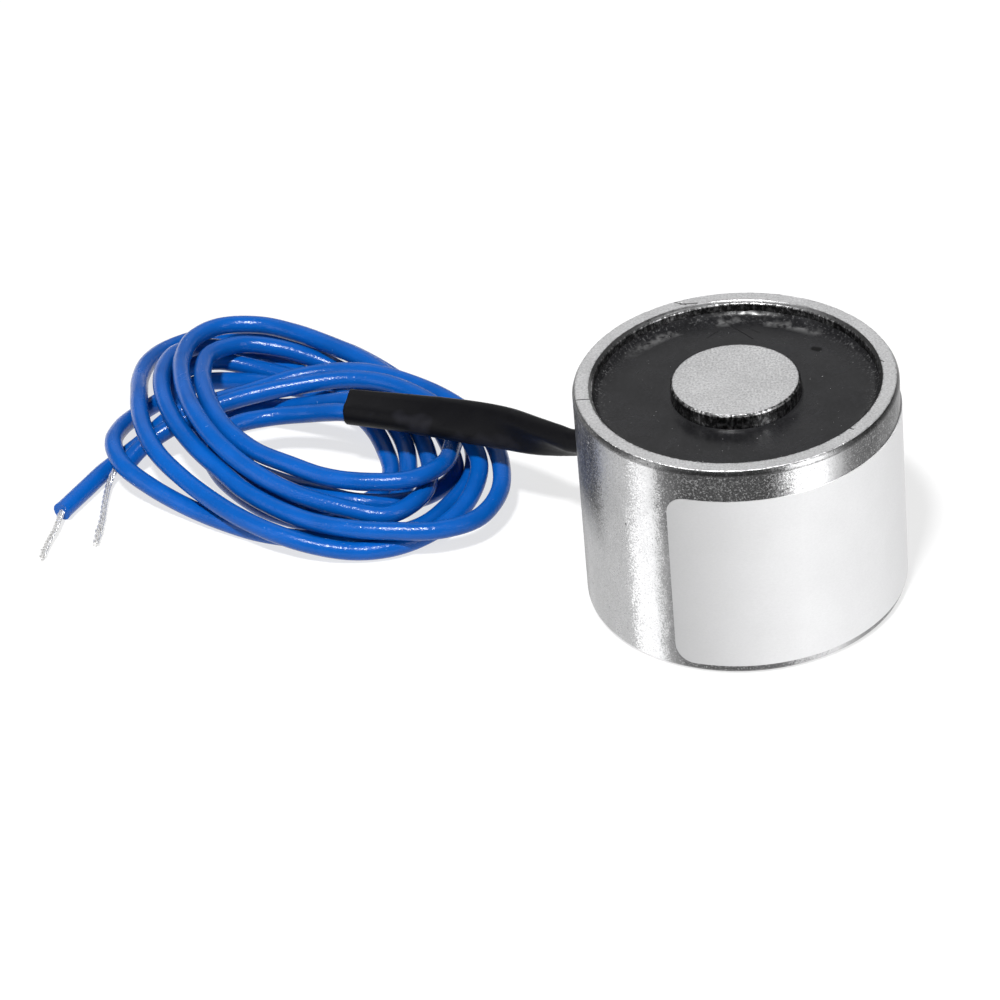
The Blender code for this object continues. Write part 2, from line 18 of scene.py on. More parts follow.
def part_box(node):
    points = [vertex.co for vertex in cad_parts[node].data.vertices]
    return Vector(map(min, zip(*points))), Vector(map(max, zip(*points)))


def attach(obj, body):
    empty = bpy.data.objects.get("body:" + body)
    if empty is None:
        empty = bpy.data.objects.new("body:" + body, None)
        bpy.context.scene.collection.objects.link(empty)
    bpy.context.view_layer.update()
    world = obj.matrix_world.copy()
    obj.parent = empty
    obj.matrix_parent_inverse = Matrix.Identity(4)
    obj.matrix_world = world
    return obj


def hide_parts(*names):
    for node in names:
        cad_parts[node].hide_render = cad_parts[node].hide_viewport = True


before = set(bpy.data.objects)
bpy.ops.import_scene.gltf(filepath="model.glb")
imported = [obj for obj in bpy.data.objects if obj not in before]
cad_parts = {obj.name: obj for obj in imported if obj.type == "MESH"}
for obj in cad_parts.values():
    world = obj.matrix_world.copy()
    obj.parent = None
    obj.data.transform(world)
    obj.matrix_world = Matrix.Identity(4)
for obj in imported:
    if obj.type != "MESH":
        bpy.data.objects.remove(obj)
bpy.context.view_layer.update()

bl_info = {
    "name": "Holding Electromagnet",
    "version": (1, 0, 0),
    "blender": (4, 5, 0),
    "location": "3D View > Sidebar > Magnet",
    "description": "Builds the dressed pieces of a round holding electromagnet",
    "category": "Object",
}

MM = 0.001
CUP_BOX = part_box("cup_shell")
POLE_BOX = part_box("pole_core")
LABEL_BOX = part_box("label")

# Clearances between pieces
SEAT_GAP = 0.05 * MM
SLEEVE_GAP = 0.04 * MM

# Lead hole and the sleeve's lie, the same as in the CAD model
HOLE_ANGLE = math.radians(180.0 - 36.8)
HOLE_HEIGHT = 6.8 * MM
HOLE_SIDE_ROOM = 0.2 * MM
HOLE_DIRECTION = Vector((math.cos(HOLE_ANGLE), math.sin(HOLE_ANGLE), 0.0))
SLEEVE_ROLL_AT_HOLE = math.radians(105.0)
SLEEVE_ROLL_AT_END = math.radians(5.0)
SLEEVE_TWIST = math.radians(134.0)
SLEEVE_TWIST_START = 0.17
SLEEVE_TWIST_POWER = 1.9
SLEEVE_SPACING = 0.2 * MM
SLEEVE_SLANT = 0.35 * MM
SLEEVE_SLANT_REACH = 2.0 * MM
SLEEVE_WAIST = 0.07 * MM
SLEEVE_WAIST_REACH = 0.45 * MM
SLEEVE_PUFF = 0.025 * MM
SLEEVE_PUFF_SIZE = 1.1 * MM
SLEEVE_ROUTE = [
    (-12.1, 9.0, 6.1), (-14.2, 10.7, 5.8), (-17.1, 12.7, 5.4), (-19.9, 14.5, 5.0),
    (-22.2, 15.9, 4.65), (-24.5, 17.2, 4.35),
]
TUCK_LENGTH = 5.0 * MM
TUCK_BEND = 0.85 * MM
TUCK_BEND_EASE = 0.255 * MM
TUCK_RADIUS = 7.94 * MM
ARC_STEPS = 5

# Pieces' sizes that nobody changes by themselves
SPIGOT_RADIUS = 3.0 * MM
SPIGOT_BORE = 3.05 * MM
TAP_DEPTH = 6.0 * MM
TAP_TIP_ANGLE = math.radians(59.0)
THREAD_TURNS = 11
WALL_FOOT = 2.8 * MM
RESIN_THICKNESS = 1.4 * MM
RESIN_SKIRT_FOOT = 2.9 * MM
RESIN_SKIRT_RADIUS = 7.96 * MM
LABEL_LEFT = math.radians(-30.5)
LABEL_RIGHT = math.radians(96.0)
LABEL_COLUMNS = 120
LABEL_ROWS = 12
SLEEVE_SIDES = 48
CUP_SEGMENTS = 256
ROUND_SEGMENTS = 192
HARD_EDGE = 18.0

# Flare of the insulation at its cut end, as a share of its radius
FLARE = 0.05
FLARE_LENGTH = 0.5 * MM

# Lie of the stripped strands: turns along their length, and where and how widely they open
STRAND_TURNS = 3.2
STRAND_STEP = 0.12 * MM
STRAND_OPEN_AT = 0.82
STRAND_OPEN_WIDTH = 0.1

# Place of the camera, as fitted to the photograph, and of the floor
CAMERA_PLACE = (-0.014977, -0.248721, 0.180097)
CAMERA_RIGHT = Vector((0.99565, -0.05307, -0.07658))
CAMERA_UP = Vector((0.09317, 0.56716, 0.81832))
SENSOR_WIDTH = 36.0
FLOOR_REACH = 1.5

# Centre lines of both leads from the sleeve's end to where their insulation ends
LEAD_A_LOOPS = [
    (-26.3, 19.5, 3.2), (-28.3, 21.1, 2.1), (-30.7, 22.3, 1.4), (-33.1, 21.3, 0.8),
    (-33.7, 18.7, 0.6), (-33.0, 16.0, 0.6), (-31.7, 13.5, 0.7), (-30.0, 11.3, 0.8),
    (-27.7, 9.7, 0.8), (-25.1, 9.0, 0.7), (-22.6, 10.2, 0.6), (-21.0, 12.4, 0.9),
    (-20.7, 15.1, 1.2), (-21.1, 17.9, 1.2), (-22.1, 20.5, 1.2), (-23.8, 22.7, 1.1),
    (-25.9, 24.6, 1.2), (-28.1, 26.2, 1.1), (-30.5, 27.6, 1.2), (-33.2, 28.3, 1.6),
    (-35.5, 27.0, 1.8), (-36.4, 24.5, 1.6), (-35.3, 22.0, 1.4), (-34.2, 19.4, 1.7),
    (-32.7, 17.1, 1.7), (-30.8, 15.2, 1.3), (-28.7, 13.3, 1.4), (-26.7, 11.4, 1.8),
    (-24.4, 9.8, 1.9), (-21.8, 9.8, 1.5), (-19.5, 11.3, 0.8), (-17.8, 13.5, 0.6),
    (-17.9, 16.2, 0.8), (-18.8, 18.7, 1.6), (-20.2, 21.0, 2.3), (-21.8, 23.3, 2.6),
    (-23.6, 25.4, 2.8), (-25.5, 27.4, 2.7), (-27.6, 29.3, 2.6), (-30.0, 30.7, 2.6),
    (-32.7, 30.7, 2.8), (-34.5, 28.8, 3.2), (-35.2, 26.1, 3.5), (-35.2, 23.3, 4.0),
    (-34.9, 20.6, 4.4), (-34.3, 17.9, 4.6), (-33.2, 15.3, 4.3), (-31.6, 13.2, 3.6),
    (-29.6, 11.3, 3.0), (-27.3, 9.8, 2.5), (-24.8, 8.6, 2.2), (-22.2, 7.9, 1.9), (-20.0, 9.5, 2.0),
    (-19.3, 12.1, 2.0), (-19.4, 14.9, 1.6), (-19.8, 17.6, 1.2), (-20.7, 20.3, 1.0),
    (-22.0, 22.7, 1.0), (-23.9, 24.7, 0.8), (-26.2, 26.2, 0.6), (-28.3, 28.1, 0.6),
    (-30.7, 29.5, 0.9), (-33.3, 30.2, 1.5), (-35.5, 28.8, 2.3), (-36.4, 26.4, 2.9),
    (-36.6, 23.7, 3.35), (-36.3, 20.8, 3.6), (-35.55, 18.2, 3.5), (-34.35, 15.6, 3.25),
    (-32.85, 13.6, 2.7), (-31.3, 11.4, 2.4), (-29.3, 9.5, 2.1), (-27.1, 7.8, 2.0),
    (-24.6, 6.6, 2.0), (-21.9, 5.9, 2.0), (-19.1, 5.7, 1.9), (-16.5, 6.6, 1.9), (-15.0, 8.9, 2.1),
    (-14.7, 11.6, 2.4), (-15.2, 14.3, 2.7), (-16.4, 16.8, 3.0), (-18.2, 18.9, 3.3),
    (-20.4, 20.7, 3.5), (-22.7, 22.2, 3.5), (-25.3, 23.2, 3.2), (-28.0, 23.3, 2.9),
    (-30.7, 22.5, 2.7), (-33.3, 21.6, 2.7), (-35.9, 20.8, 2.45), (-38.2, 19.9, 1.1),
    (-40.3, 18.2, 0.6), (-41.9, 15.9, 0.6), (-43.4, 13.6, 0.6),
]
LEAD_B_LOOPS = [
    (-27.0, 18.0, 3.5), (-29.6, 18.6, 3.1), (-32.0, 17.9, 3.1), (-33.1, 15.9, 2.7),
    (-31.7, 13.9, 2.0), (-30.2, 12.8, 1.5), (-28.3, 11.5, 0.9), (-25.7, 10.9, 0.6),
    (-23.1, 11.8, 0.6), (-21.9, 14.2, 0.6), (-22.2, 17.0, 0.9), (-23.1, 19.6, 1.2),
    (-24.7, 21.8, 1.4), (-26.8, 23.7, 1.4), (-29.1, 25.3, 1.2), (-31.5, 26.6, 0.9),
    (-34.2, 27.2, 0.7), (-36.6, 25.9, 0.6), (-38.4, 23.8, 0.9), (-39.5, 21.4, 1.5),
    (-39.9, 18.7, 2.1), (-39.2, 16.0, 2.1), (-37.4, 14.1, 1.5), (-35.2, 12.4, 0.9),
    (-33.0, 10.7, 0.7), (-30.7, 9.2, 0.6), (-28.2, 8.1, 0.6), (-25.5, 7.3, 0.6), (-22.7, 7.3, 0.6),
    (-20.1, 8.2, 0.6), (-18.2, 10.2, 0.7), (-16.8, 12.6, 0.8), (-16.4, 15.4, 0.7),
    (-16.7, 18.1, 0.6), (-17.7, 20.7, 0.6), (-19.1, 23.1, 0.6), (-21.2, 25.0, 0.6),
    (-23.7, 26.1, 0.7), (-26.0, 27.3, 1.4), (-28.6, 28.1, 2.2), (-31.3, 28.5, 2.6),
    (-33.3, 26.8, 3.2), (-33.8, 24.2, 3.7), (-33.7, 21.4, 4.2), (-33.2, 18.7, 4.3),
    (-32.2, 16.1, 4.1), (-30.5, 14.0, 3.7), (-28.3, 12.3, 3.5), (-26.0, 10.8, 3.3),
    (-23.4, 9.8, 3.3), (-20.6, 9.6, 3.3), (-18.5, 11.2, 3.1), (-17.8, 13.8, 2.5),
    (-17.5, 16.6, 2.1), (-17.7, 19.3, 1.7), (-19.3, 21.5, 1.4), (-20.9, 23.8, 1.6),
    (-22.8, 25.9, 1.9), (-24.5, 28.1, 1.6), (-26.6, 29.8, 1.2), (-28.8, 31.5, 1.0),
    (-31.3, 32.7, 0.7), (-34.0, 33.0, 0.6), (-36.4, 31.7, 0.8), (-37.7, 29.3, 1.4),
    (-38.2, 26.6, 1.9), (-38.2, 23.9, 2.5), (-38.1, 21.2, 2.9), (-37.7, 18.4, 3.0),
    (-36.8, 15.8, 2.8), (-35.3, 13.5, 2.4), (-33.6, 11.3, 2.1), (-31.7, 9.3, 1.8),
    (-29.5, 7.6, 1.5), (-27.0, 6.4, 1.1), (-24.3, 5.9, 0.7), (-21.6, 6.1, 0.7), (-19.1, 7.3, 0.9),
    (-17.1, 9.1, 1.5), (-16.1, 11.5, 2.5), (-16.7, 14.1, 3.2), (-18.0, 16.5, 3.6),
    (-19.8, 18.6, 3.8), (-22.0, 20.3, 3.9), (-24.6, 21.2, 3.8), (-27.4, 21.3, 3.6),
    (-30.1, 21.1, 3.4), (-32.9, 20.6, 3.1), (-35.4, 19.8, 2.6), (-37.9, 18.8, 1.7),
    (-39.2, 17.7, 1.05),
]

# Centre lines of the stripped ends past the insulation
TIP_A_ROUTE = [
    (-43.3, 13.7, 0.60), (-43.47, 13.3, 0.57), (-43.81, 11.92, 0.42), (-44.22, 10.77, 0.32),
    (-44.45, 9.92, 0.26), (-44.65, 9.0, 0.22),
]
TIP_B_ROUTE = [
    (-39.2, 17.7, 1.05), (-39.75, 17.65, 0.90), (-40.1, 17.2, 0.70), (-40.4, 16.4, 0.42),
    (-40.65, 14.6, 0.30), (-40.8, 12.7, 0.26), (-41.0, 11.4, 0.26), (-41.2, 10.0, 0.22),
]


def length_property(name, description, default):
    """A length with its name, description and default."""
    return FloatProperty(name=name, description=description, default=default, unit="LENGTH")


def colour_property(name, description, default):
    """A colour with its name, description and default."""
    return FloatVectorProperty(name=name, description=description, default=default,
                               subtype="COLOR", min=0.0, max=1.0)


class MagnetSizes(PropertyGroup):
    """Sizes of the magnet's pieces."""
    cup_radius: length_property("Cup radius", "Outer radius of the steel cup", CUP_BOX[1].x)
    cup_height: length_property("Cup height", "Height of the cup and the pole", CUP_BOX[1].z)
    cup_wall: length_property("Cup wall", "Thickness of the cup's wall", 1.2 * MM)
    cup_floor: length_property("Cup floor", "Thickness of the cup's floor", 2.5 * MM)
    base_round: length_property("Base round", "Round of the cup's lower edge", 0.5 * MM)
    rim_chamfer: length_property("Rim chamfer", "Height of the chamfer round the rim", 0.3 * MM)
    pole_radius: length_property("Pole radius", "Radius of the centre pole", POLE_BOX[1].x)
    pole_chamfer: length_property("Pole chamfer", "Edge break of the pole's face", 0.12 * MM)
    tap_radius: length_property("Thread radius", "Outer radius of the thread in the pole", 1.5 * MM)
    tap_pitch: length_property("Thread pitch", "Pitch of the thread in the pole", 0.5 * MM)
    resin_depth: length_property("Resin depth", "Depth of the resin below the pole's face", 1.1 * MM)
    resin_rise: length_property("Resin rise", "How far the resin creeps up the cup's wall", 0.4 * MM)
    label_thickness: length_property("Label thickness", "Thickness of the label film", 0.08 * MM)
    label_corner: length_property("Label corner", "Corner radius of the label", 1.2 * MM)
    lead_diameter: length_property("Lead diameter", "Diameter over the leads' insulation", 1.2 * MM)
    sleeve_wall: length_property("Sleeve wall", "Wall of the shrink sleeve", 0.12 * MM)
    strand_diameter: length_property("Strand diameter", "Diameter of one tinned strand", 0.15 * MM)
    strand_count: IntProperty(name="Strands", description="Outer strands of each stripped end",
                              default=5, min=3, max=12)


class MagnetFinishes(PropertyGroup):
    """Colours of the magnet's finishes."""
    steel: colour_property("Steel", "Plated steel of the cup and pole", (0.56, 0.56, 0.565))
    resin: colour_property("Resin", "Cast resin round the pole", (0.010, 0.010, 0.011))
    label: colour_property("Label", "Silver film of the label", (0.54, 0.54, 0.545))
    sleeve: colour_property("Sleeve", "Shrink sleeve over the leads", (0.003, 0.003, 0.004))
    lead: colour_property("Lead", "Insulation of the leads", (0.001, 0.075, 0.335))
    strand: colour_property("Strand", "Tinned copper strands", (0.90, 0.89, 0.87))
    nylon: colour_property("Nylon", "Moulded bobbin", (0.74, 0.70, 0.60))
    copper: colour_property("Copper", "Enamelled winding wire", (0.62, 0.22, 0.07))
    tape: colour_property("Tape", "Tape over the winding", (0.62, 0.40, 0.07))
    tubing: colour_property("Tubing", "Tubing over the joints", (0.78, 0.78, 0.74))
    solder: colour_property("Solder", "Solder of the joints", (0.58, 0.58, 0.58))


class StudioSettings(PropertyGroup):
    """Camera, floor and lights of the studio."""
    focal_length: FloatProperty(name="Focal length", default=176.1, subtype="DISTANCE_CAMERA",
                                description="Focal length of the camera in millimetres")
    floor: colour_property("Floor", "Pale floor under the magnet", (0.93, 0.93, 0.93))
    world_light: FloatProperty(name="World light", default=0.2, min=0.0,
                               description="Strength of the even light from all round")
    light: FloatProperty(name="Softboxes", description="Strength of all softboxes together",
                         default=1.0, min=0.0)


# Softboxes: name, azimuth from -Y towards +X and elevation in degrees, distance, width and height
# in metres, and glow
SOFTBOXES = [
    ("front_light", -20.0, 64.0, 0.80, 0.09, 0.072, 410.0),
    ("left_light", -63.0, 24.0, 0.70, 0.26, 0.45, 1.8),
    ("right_light", 43.0, 22.0, 0.70, 0.20, 0.45, 6.0),
    ("back_light", 180.0, 36.0, 0.95, 1.10, 0.55, 0.58),
]
LIGHT_AIM = Vector((-0.008, 0.008, 0.008))


# Looks

# Painted reflections and shade round the cup, standing in for the studio seen in the plating: azimuth
# from -Y towards +X in degrees, and tone. The first row holds near the rim, the second towards the
# foot.
PAINTED_LIGHT_ABOVE = [
    (-180, 0.7), (-112, 0.6), (-96, 0.08), (-66, 0.06), (-60, 0.6), (-46, 0.8), (-42, 1.6),
    (-36, 1.45), (-33, 0.3), (-24, 0.11), (7, 0.1), (12, 0.7), (15, 2.0), (25, 2.0), (31, 1.0),
    (38, 0.26), (49, 0.16), (56, 0.22), (68, 0.16), (100, 0.5), (180, 0.6),
]
PAINTED_LIGHT_BELOW = [
    (-180, 0.7), (-100, 0.5), (-86, 0.25), (-79, 0.66), (-60, 0.78), (-49, 0.8), (-45, 1.8),
    (-37, 1.7), (-34, 0.6), (-30, 0.35), (-26, 0.2), (-14, 0.15), (8, 0.2), (14, 0.8), (26, 1.2),
    (38, 0.6), (48, 0.3), (58, 0.4), (66, 0.7), (100, 0.7), (180, 0.7),
]

# Painted shade lines round the cup's upper edge: height and half width in millimetres
EDGE_SHADE_LINES = [(14.93, 0.09), (14.66, 0.08)]

# Darkened edges of the ground faces: distance from the axis and half width
DARK_FACE_EDGES = [(POLE_BOX[1].x - 0.10 * MM, 0.12 * MM), (9.0 * MM, 0.10 * MM), (9.84 * MM, 0.10 * MM)]

# Scratches on the rim and in the resin: start and end in millimetres, and width
RIM_SCRATCHES = [
    ((-9.92, -0.6), (-8.89, -0.68), 0.05), ((-3.04, 9.38), (-2.27, 8.95), 0.05),
    ((-2.6, 9.05), (-1.56, 9.0), 0.06), ((8.7, 0.9), (9.15, 0.45), 0.05),
    ((6.1, -6.3), (6.5, -6.55), 0.06),
]
RESIN_SCRATCHES = [
    ((0.07, 8.2), (1.61, 5.99), 0.03), ((-1.2, 6.6), (-0.4, 7.3), 0.03),
    ((1.4, 7.3), (2.1, 6.6), 0.02), ((5.25, 4.28), (5.5, 4.15), 0.28),
]


def solid(colour):
    """A colour with its alpha, or the socket that gives it."""
    return colour if isinstance(colour, bpy.types.NodeSocket) else (*colour, 1.0)


def shade(colour, factor):
    """A colour made darker or lighter."""
    return tuple(min(1.0, part * factor) for part in colour)


class Look:
    """A material in the making: its shader and the steps of its patterns."""

    def __init__(self, name, colour, roughness, metallic=0.0, **constants):
        self.material = bpy.data.materials.new(name)
        self.material.use_nodes = True
        self.material.diffuse_color = solid(colour)
        self.tree = self.material.node_tree
        self.shader = self.tree.nodes["Principled BSDF"]
        constants.update(Base_Color=solid(colour), Roughness=roughness, Metallic=metallic)
        for socket, value in constants.items():
            self.shader.inputs[socket.replace("_", " ")].default_value = value
        self.place = self.node("TexCoord", output="Object")

    def node(self, kind, inputs=None, output=0, **settings):
        """Add a node and give one output; inputs maps sockets to values or other sockets."""
        made = self.tree.nodes.new("ShaderNode" + kind)
        for name, value in settings.items():
            setattr(made, name, value)
        for place, value in (inputs or {}).items():
            if isinstance(value, bpy.types.NodeSocket):
                self.tree.links.new(value, made.inputs[place])
            else:
                made.inputs[place].default_value = value
        return made.outputs[output]

    def math(self, operation, first, second=0.0, clamp=False):
        """The result of one arithmetic step."""
        return self.node("Math", {0: first, 1: second}, operation=operation, use_clamp=clamp)

    def plus(self, first, second):
        """The sum of two values."""
        return self.math("ADD", first, second)

    def minus(self, first, second):
        """The first value less the second."""
        return self.math("SUBTRACT", first, second)

    def times(self, first, second):
        """The product of two values."""
        return self.math("MULTIPLY", first, second)

    def most(self, first, second):
        """The larger of two values."""
        return self.math("MAXIMUM", first, second)

    def vector(self, operation, first, second, output=0):
        """The result of one step on two vectors or colours."""
        return self.node("VectorMath", {0: first, 1: second}, output, operation=operation)

    def scaled(self, vector, factor):
        """A vector or a colour times a value."""
        return self.node("VectorMath", {0: vector, "Scale": factor}, operation="SCALE")

    def axes(self):
        """X, Y and Z of the place, in metres."""
        return self.node("SeparateXYZ", {0: self.place}).node.outputs

    def across(self):
        """Distance from the Z axis, in metres."""
        x, y, z = self.axes()
        return self.math("SQRT", self.plus(self.times(x, x), self.times(y, y)))

    def stretched(self, scale):
        """The place with its axes scaled."""
        return self.node("Mapping", {"Vector": self.place, "Scale": scale})

    def noise(self, features_per_mm, detail=3.0, roughness=0.55, distortion=0.0, place=None):
        """Noise from 0 to 1 with so many features to a millimetre."""
        inputs = {"Vector": self.place if place is None else place,
                  "Scale": features_per_mm / MM, "Detail": detail,
                  "Roughness": roughness, "Distortion": distortion}
        return self.node("TexNoise", inputs, "Fac")

    def span(self, value, low, high, to_low=0.0, to_high=1.0):
        """Map a value from one range to another and clamp it."""
        return self.node("MapRange", {0: value, 1: low, 2: high, 3: to_low, 4: to_high})

    def near(self, value, place, width):
        """1 where a value is at a place, falling to 0 over a width."""
        away = self.math("ABSOLUTE", self.minus(value, place))
        return self.span(away, 0.0, width, 1.0, 0.0)

    def mix(self, factor, first, second):
        """Two colours mixed by a factor."""
        return self.node("Mix", {0: factor, 6: solid(first), 7: solid(second)}, 2, data_type="RGBA")

    def painted_light(self, turn, rows):
        """Painted reflection and shade of the plating at a share of the turn."""
        tone = self.node("ValToRGB", {0: turn})
        steps = tone.node.color_ramp.elements
        while len(steps) < len(rows):
            steps.new(1.0)
        for step, (azimuth, level) in zip(steps, rows):
            step.position = 0.5 + azimuth / 360.0
            step.color = (level / 2, level / 2, level / 2, 1.0)
        return tone

    def scratch(self, start, end, width):
        """1 along a line between two (x, y) places in millimetres, seen from above."""
        first = Vector((*start, 0.0)) * MM
        line = Vector((*end, 0.0)) * MM - first
        offset = self.vector("SUBTRACT", self.vector("MULTIPLY", self.place, (1.0, 1.0, 0.0)), first)
        along = self.vector("DOT_PRODUCT", offset, line / line.length_squared, "Value")
        share = self.math("ADD", along, 0.0, clamp=True)
        away = self.vector("DISTANCE", offset, self.scaled(line, share), "Value")
        return self.span(away, width * 0.5 * MM, width * MM, 1.0, 0.0)

    def scratches(self, marks, rows):
        """Marks with the scratches of a list added."""
        for start, end, width in rows:
            marks = self.most(marks, self.scratch(start, end, width))
        return marks

    def attach(self, socket, value):
        """Link a value into the shader."""
        self.tree.links.new(value, self.shader.inputs[socket])

    def finish(self, colour, roughness=None, height=None, strength=0.0, distance=0.0):
        """Attach colour, roughness and the bump of a height, and give the material."""
        self.attach("Base Color", colour)
        if roughness is not None:
            self.attach("Roughness", roughness)
        if height is not None:
            inputs = {"Height": height, "Strength": strength, "Distance": distance}
            self.attach("Normal", self.node("Bump", inputs))
        return self.material


# Materials

def turned_steel(colour):
    """Plated steel off the lathe: painted reflections and shade in bands round the side, painted shade
    at the upper edge, fine grain, rough inner walls.
    """
    look = Look("turned_steel", colour, 0.3, 1.0, Anisotropic=0.5, Specular_IOR_Level=0.1)
    x, y, z = look.axes()
    across = look.across()
    grain = look.noise(10.0, 3.0, 0.75)
    coarse = look.noise(1.6, 3.0, 0.6, 0.4, look.stretched((1.0, 1.0, 0.5)))
    smudges = look.noise(0.28, 4.0, 0.6, 0.6)
    crumbs = look.noise(4.5, 3.0, 0.7, place=look.stretched((1.0, 1.0, 0.6)))
    pits = look.span(look.noise(2.2, 1.0), 0.76, 0.79)

    # Bands of painted reflection and shade with ragged edges; at the far left the painted shade
    # reaches higher and is duller and less metallic
    turn = look.math("DIVIDE", look.math("ARCTAN2", x, look.times(y, -1.0)), math.tau)
    ragged = look.plus(look.span(grain, 0.2, 0.8, -0.016, 0.016),
                       look.span(coarse, 0.25, 0.75, -0.003, 0.003))
    turn = look.plus(look.plus(turn, ragged), 0.5)
    leftmost = look.span(x, -8.8 * MM, -8.3 * MM, 1.0, 0.0)
    reach = look.plus(z, look.times(leftmost, 2.5 * MM))
    upper = look.span(reach, 8.5 * MM, 12.0 * MM)
    painted_light = look.mix(upper, look.painted_light(turn, PAINTED_LIGHT_BELOW), look.painted_light(turn, PAINTED_LIGHT_ABOVE))
    # Painted shade patch at the far left: where the painted tone is darkest the steel is made less
    # metallic, so it stays dark
    painted_shade_patch = look.times(look.span(painted_light, 0.05, 0.2, 1.0, 0.0), leftmost)
    look.attach("Metallic", look.minus(1.0, painted_shade_patch))
    tone = look.mix(look.span(smudges, 0.3, 0.7), shade(colour, 0.9), shade(colour, 1.08))
    # The painted reflections and shade darken and lighten the colour round the cup
    tone = look.vector("MULTIPLY", tone, painted_light)
    tone = look.scaled(tone, look.span(grain, 0.25, 0.75, 1.2, 2.8))
    # Painted glints: light specks mixed into the colour, plainest where the painted shade is dark
    painted_glints = look.span(look.noise(8.0, 3.0, 0.7), 0.54, 0.68, 0.0, 0.7)
    tone = look.mix(painted_glints, tone, shade(colour, 0.9))
    worn = look.span(look.times(crumbs, grain), 0.29, 0.42, 0.0, 0.5)
    tone = look.mix(worn, tone, shade(colour, 0.8))

    # The upper edge: painted shade as dark lines and a darker chamfer
    edge = 0.0
    for height, width in EDGE_SHADE_LINES:
        edge = look.most(look.near(z, height * MM, width * MM), edge)
    edge = look.times(edge, look.span(crumbs, 0.3, 0.6, 0.35, 0.95))
    edge = look.most(edge, look.span(z, 14.66 * MM, 14.7 * MM, 0.0, 0.6))
    tone = look.mix(edge, tone, shade(colour, 0.12))

    # The rough wall inside, lighter with the painted reflections, painted shade on its lip, and pits
    # all over
    inside = look.span(across, 8.83 * MM, 8.87 * MM, 1.0, 0.0)
    wall = look.mix(look.span(crumbs, 0.46, 0.66), shade(colour, 0.07), shade(colour, 1.1))
    # Painted light: the wall inside is made lighter where the painted reflections are bright
    wall = look.scaled(wall, look.span(painted_light, 0.35, 0.95, 1.0, 2.4))
    # Painted shade on the inner lip, broken up by the crumbs
    lip_shade = look.times(look.near(across, 8.93 * MM, 0.08 * MM), look.span(crumbs, 0.4, 0.6, 0.5, 0.9))
    tone = look.mix(lip_shade, tone, shade(colour, 0.3))
    tone = look.mix(look.times(inside, 0.85), tone, wall)
    tone = look.mix(look.times(pits, 0.8), tone, shade(colour, 0.1))
    rough = look.plus(look.span(coarse, 0.25, 0.75, 0.24, 0.36),
                      look.span(grain, 0.3, 0.7, -0.03, 0.06))
    height = look.plus(grain, look.times(look.times(crumbs, inside), 3.0))
    return look.finish(tone, rough, height, 0.6, 0.012 * MM)


def ground_steel(colour):
    """The ground faces of rim and pole: a fine pebbled plating, darker along its edges."""
    look = Look("ground_steel", colour, 0.4, 1.0)
    across = look.across()
    pebbles = look.noise(7.0, 3.0, 0.7)
    dents = look.noise(3.4, 2.0, 0.6)
    crumbs = look.noise(4.0, 3.0, 0.7)
    tone = look.mix(look.span(look.noise(0.5), 0.3, 0.7), shade(colour, 1.36), shade(colour, 1.56))
    contrast = look.span(across, 4.2 * MM, 8.5 * MM, 1.7, 1.1)
    fine = look.plus(look.times(look.minus(pebbles, 0.5), contrast), 1.0)
    tone = look.scaled(tone, fine)
    edges = 0.0
    for radius, width in DARK_FACE_EDGES:
        edges = look.most(look.near(across, radius, width), edges)
    marks = look.times(look.times(edges, look.span(crumbs, 0.45, 0.62)), 0.6)
    marks = look.most(marks, look.times(look.span(crumbs, 0.74, 0.8), 0.6))
    marks = look.scratches(marks, RIM_SCRATCHES)
    tone = look.mix(marks, tone, shade(colour, 0.08))
    rough = look.span(pebbles, 0.3, 0.7, 0.36, 0.48)
    return look.finish(tone, rough, look.minus(dents, marks), 1.0, 0.05 * MM)


def cast_resin(colour):
    """Cast resin with a slow waviness, dust, scratches, pale specks by the wall and a painted
    reflection by the wall at the back.
    """
    look = Look("cast_resin", colour, 0.25, Specular_IOR_Level=0.2)
    across = look.across()
    clouds = look.noise(0.45, 4.0, 0.6, 0.8)
    grain = look.noise(6.0, 3.0, 0.7)
    dust = look.span(look.noise(5.0, 1.0), 0.785, 0.81)
    # Pale specks near the wall
    wall_specks = look.times(look.span(across, 7.9 * MM, 8.7 * MM), look.span(grain, 0.56, 0.66))
    at_back = look.span(look.axes()[1], 5.0 * MM, 7.0 * MM)
    # Painted reflection: a pale streak by the wall at the back, where the rim's inner edge would show
    # in the glossy resin
    back_reflection = look.times(look.near(across, 8.1 * MM, 0.5 * MM), at_back)
    back_reflection = look.times(back_reflection, look.span(look.noise(0.7, 3.0, 0.7), 0.48, 0.62))
    pale = look.most(look.times(dust, 0.5), look.times(wall_specks, 0.2))
    pale = look.most(pale, look.times(back_reflection, 0.35))
    tone = look.mix(look.span(clouds, 0.35, 0.7), shade(colour, 0.8), shade(colour, 1.4))
    tone = look.scaled(tone, look.span(grain, 0.25, 0.75, 0.6, 1.4))
    tone = look.mix(pale, tone, (0.35, 0.35, 0.35))
    marks = look.scratches(0.0, RESIN_SCRATCHES)
    tone = look.mix(marks, tone, (0.002, 0.002, 0.002))
    rough = look.plus(look.span(clouds, 0.3, 0.7, 0.16, 0.32), look.times(marks, 0.4))
    height = look.minus(look.plus(clouds, look.times(grain, 0.2)), marks)
    return look.finish(tone, rough, height, 0.4, 0.05 * MM)


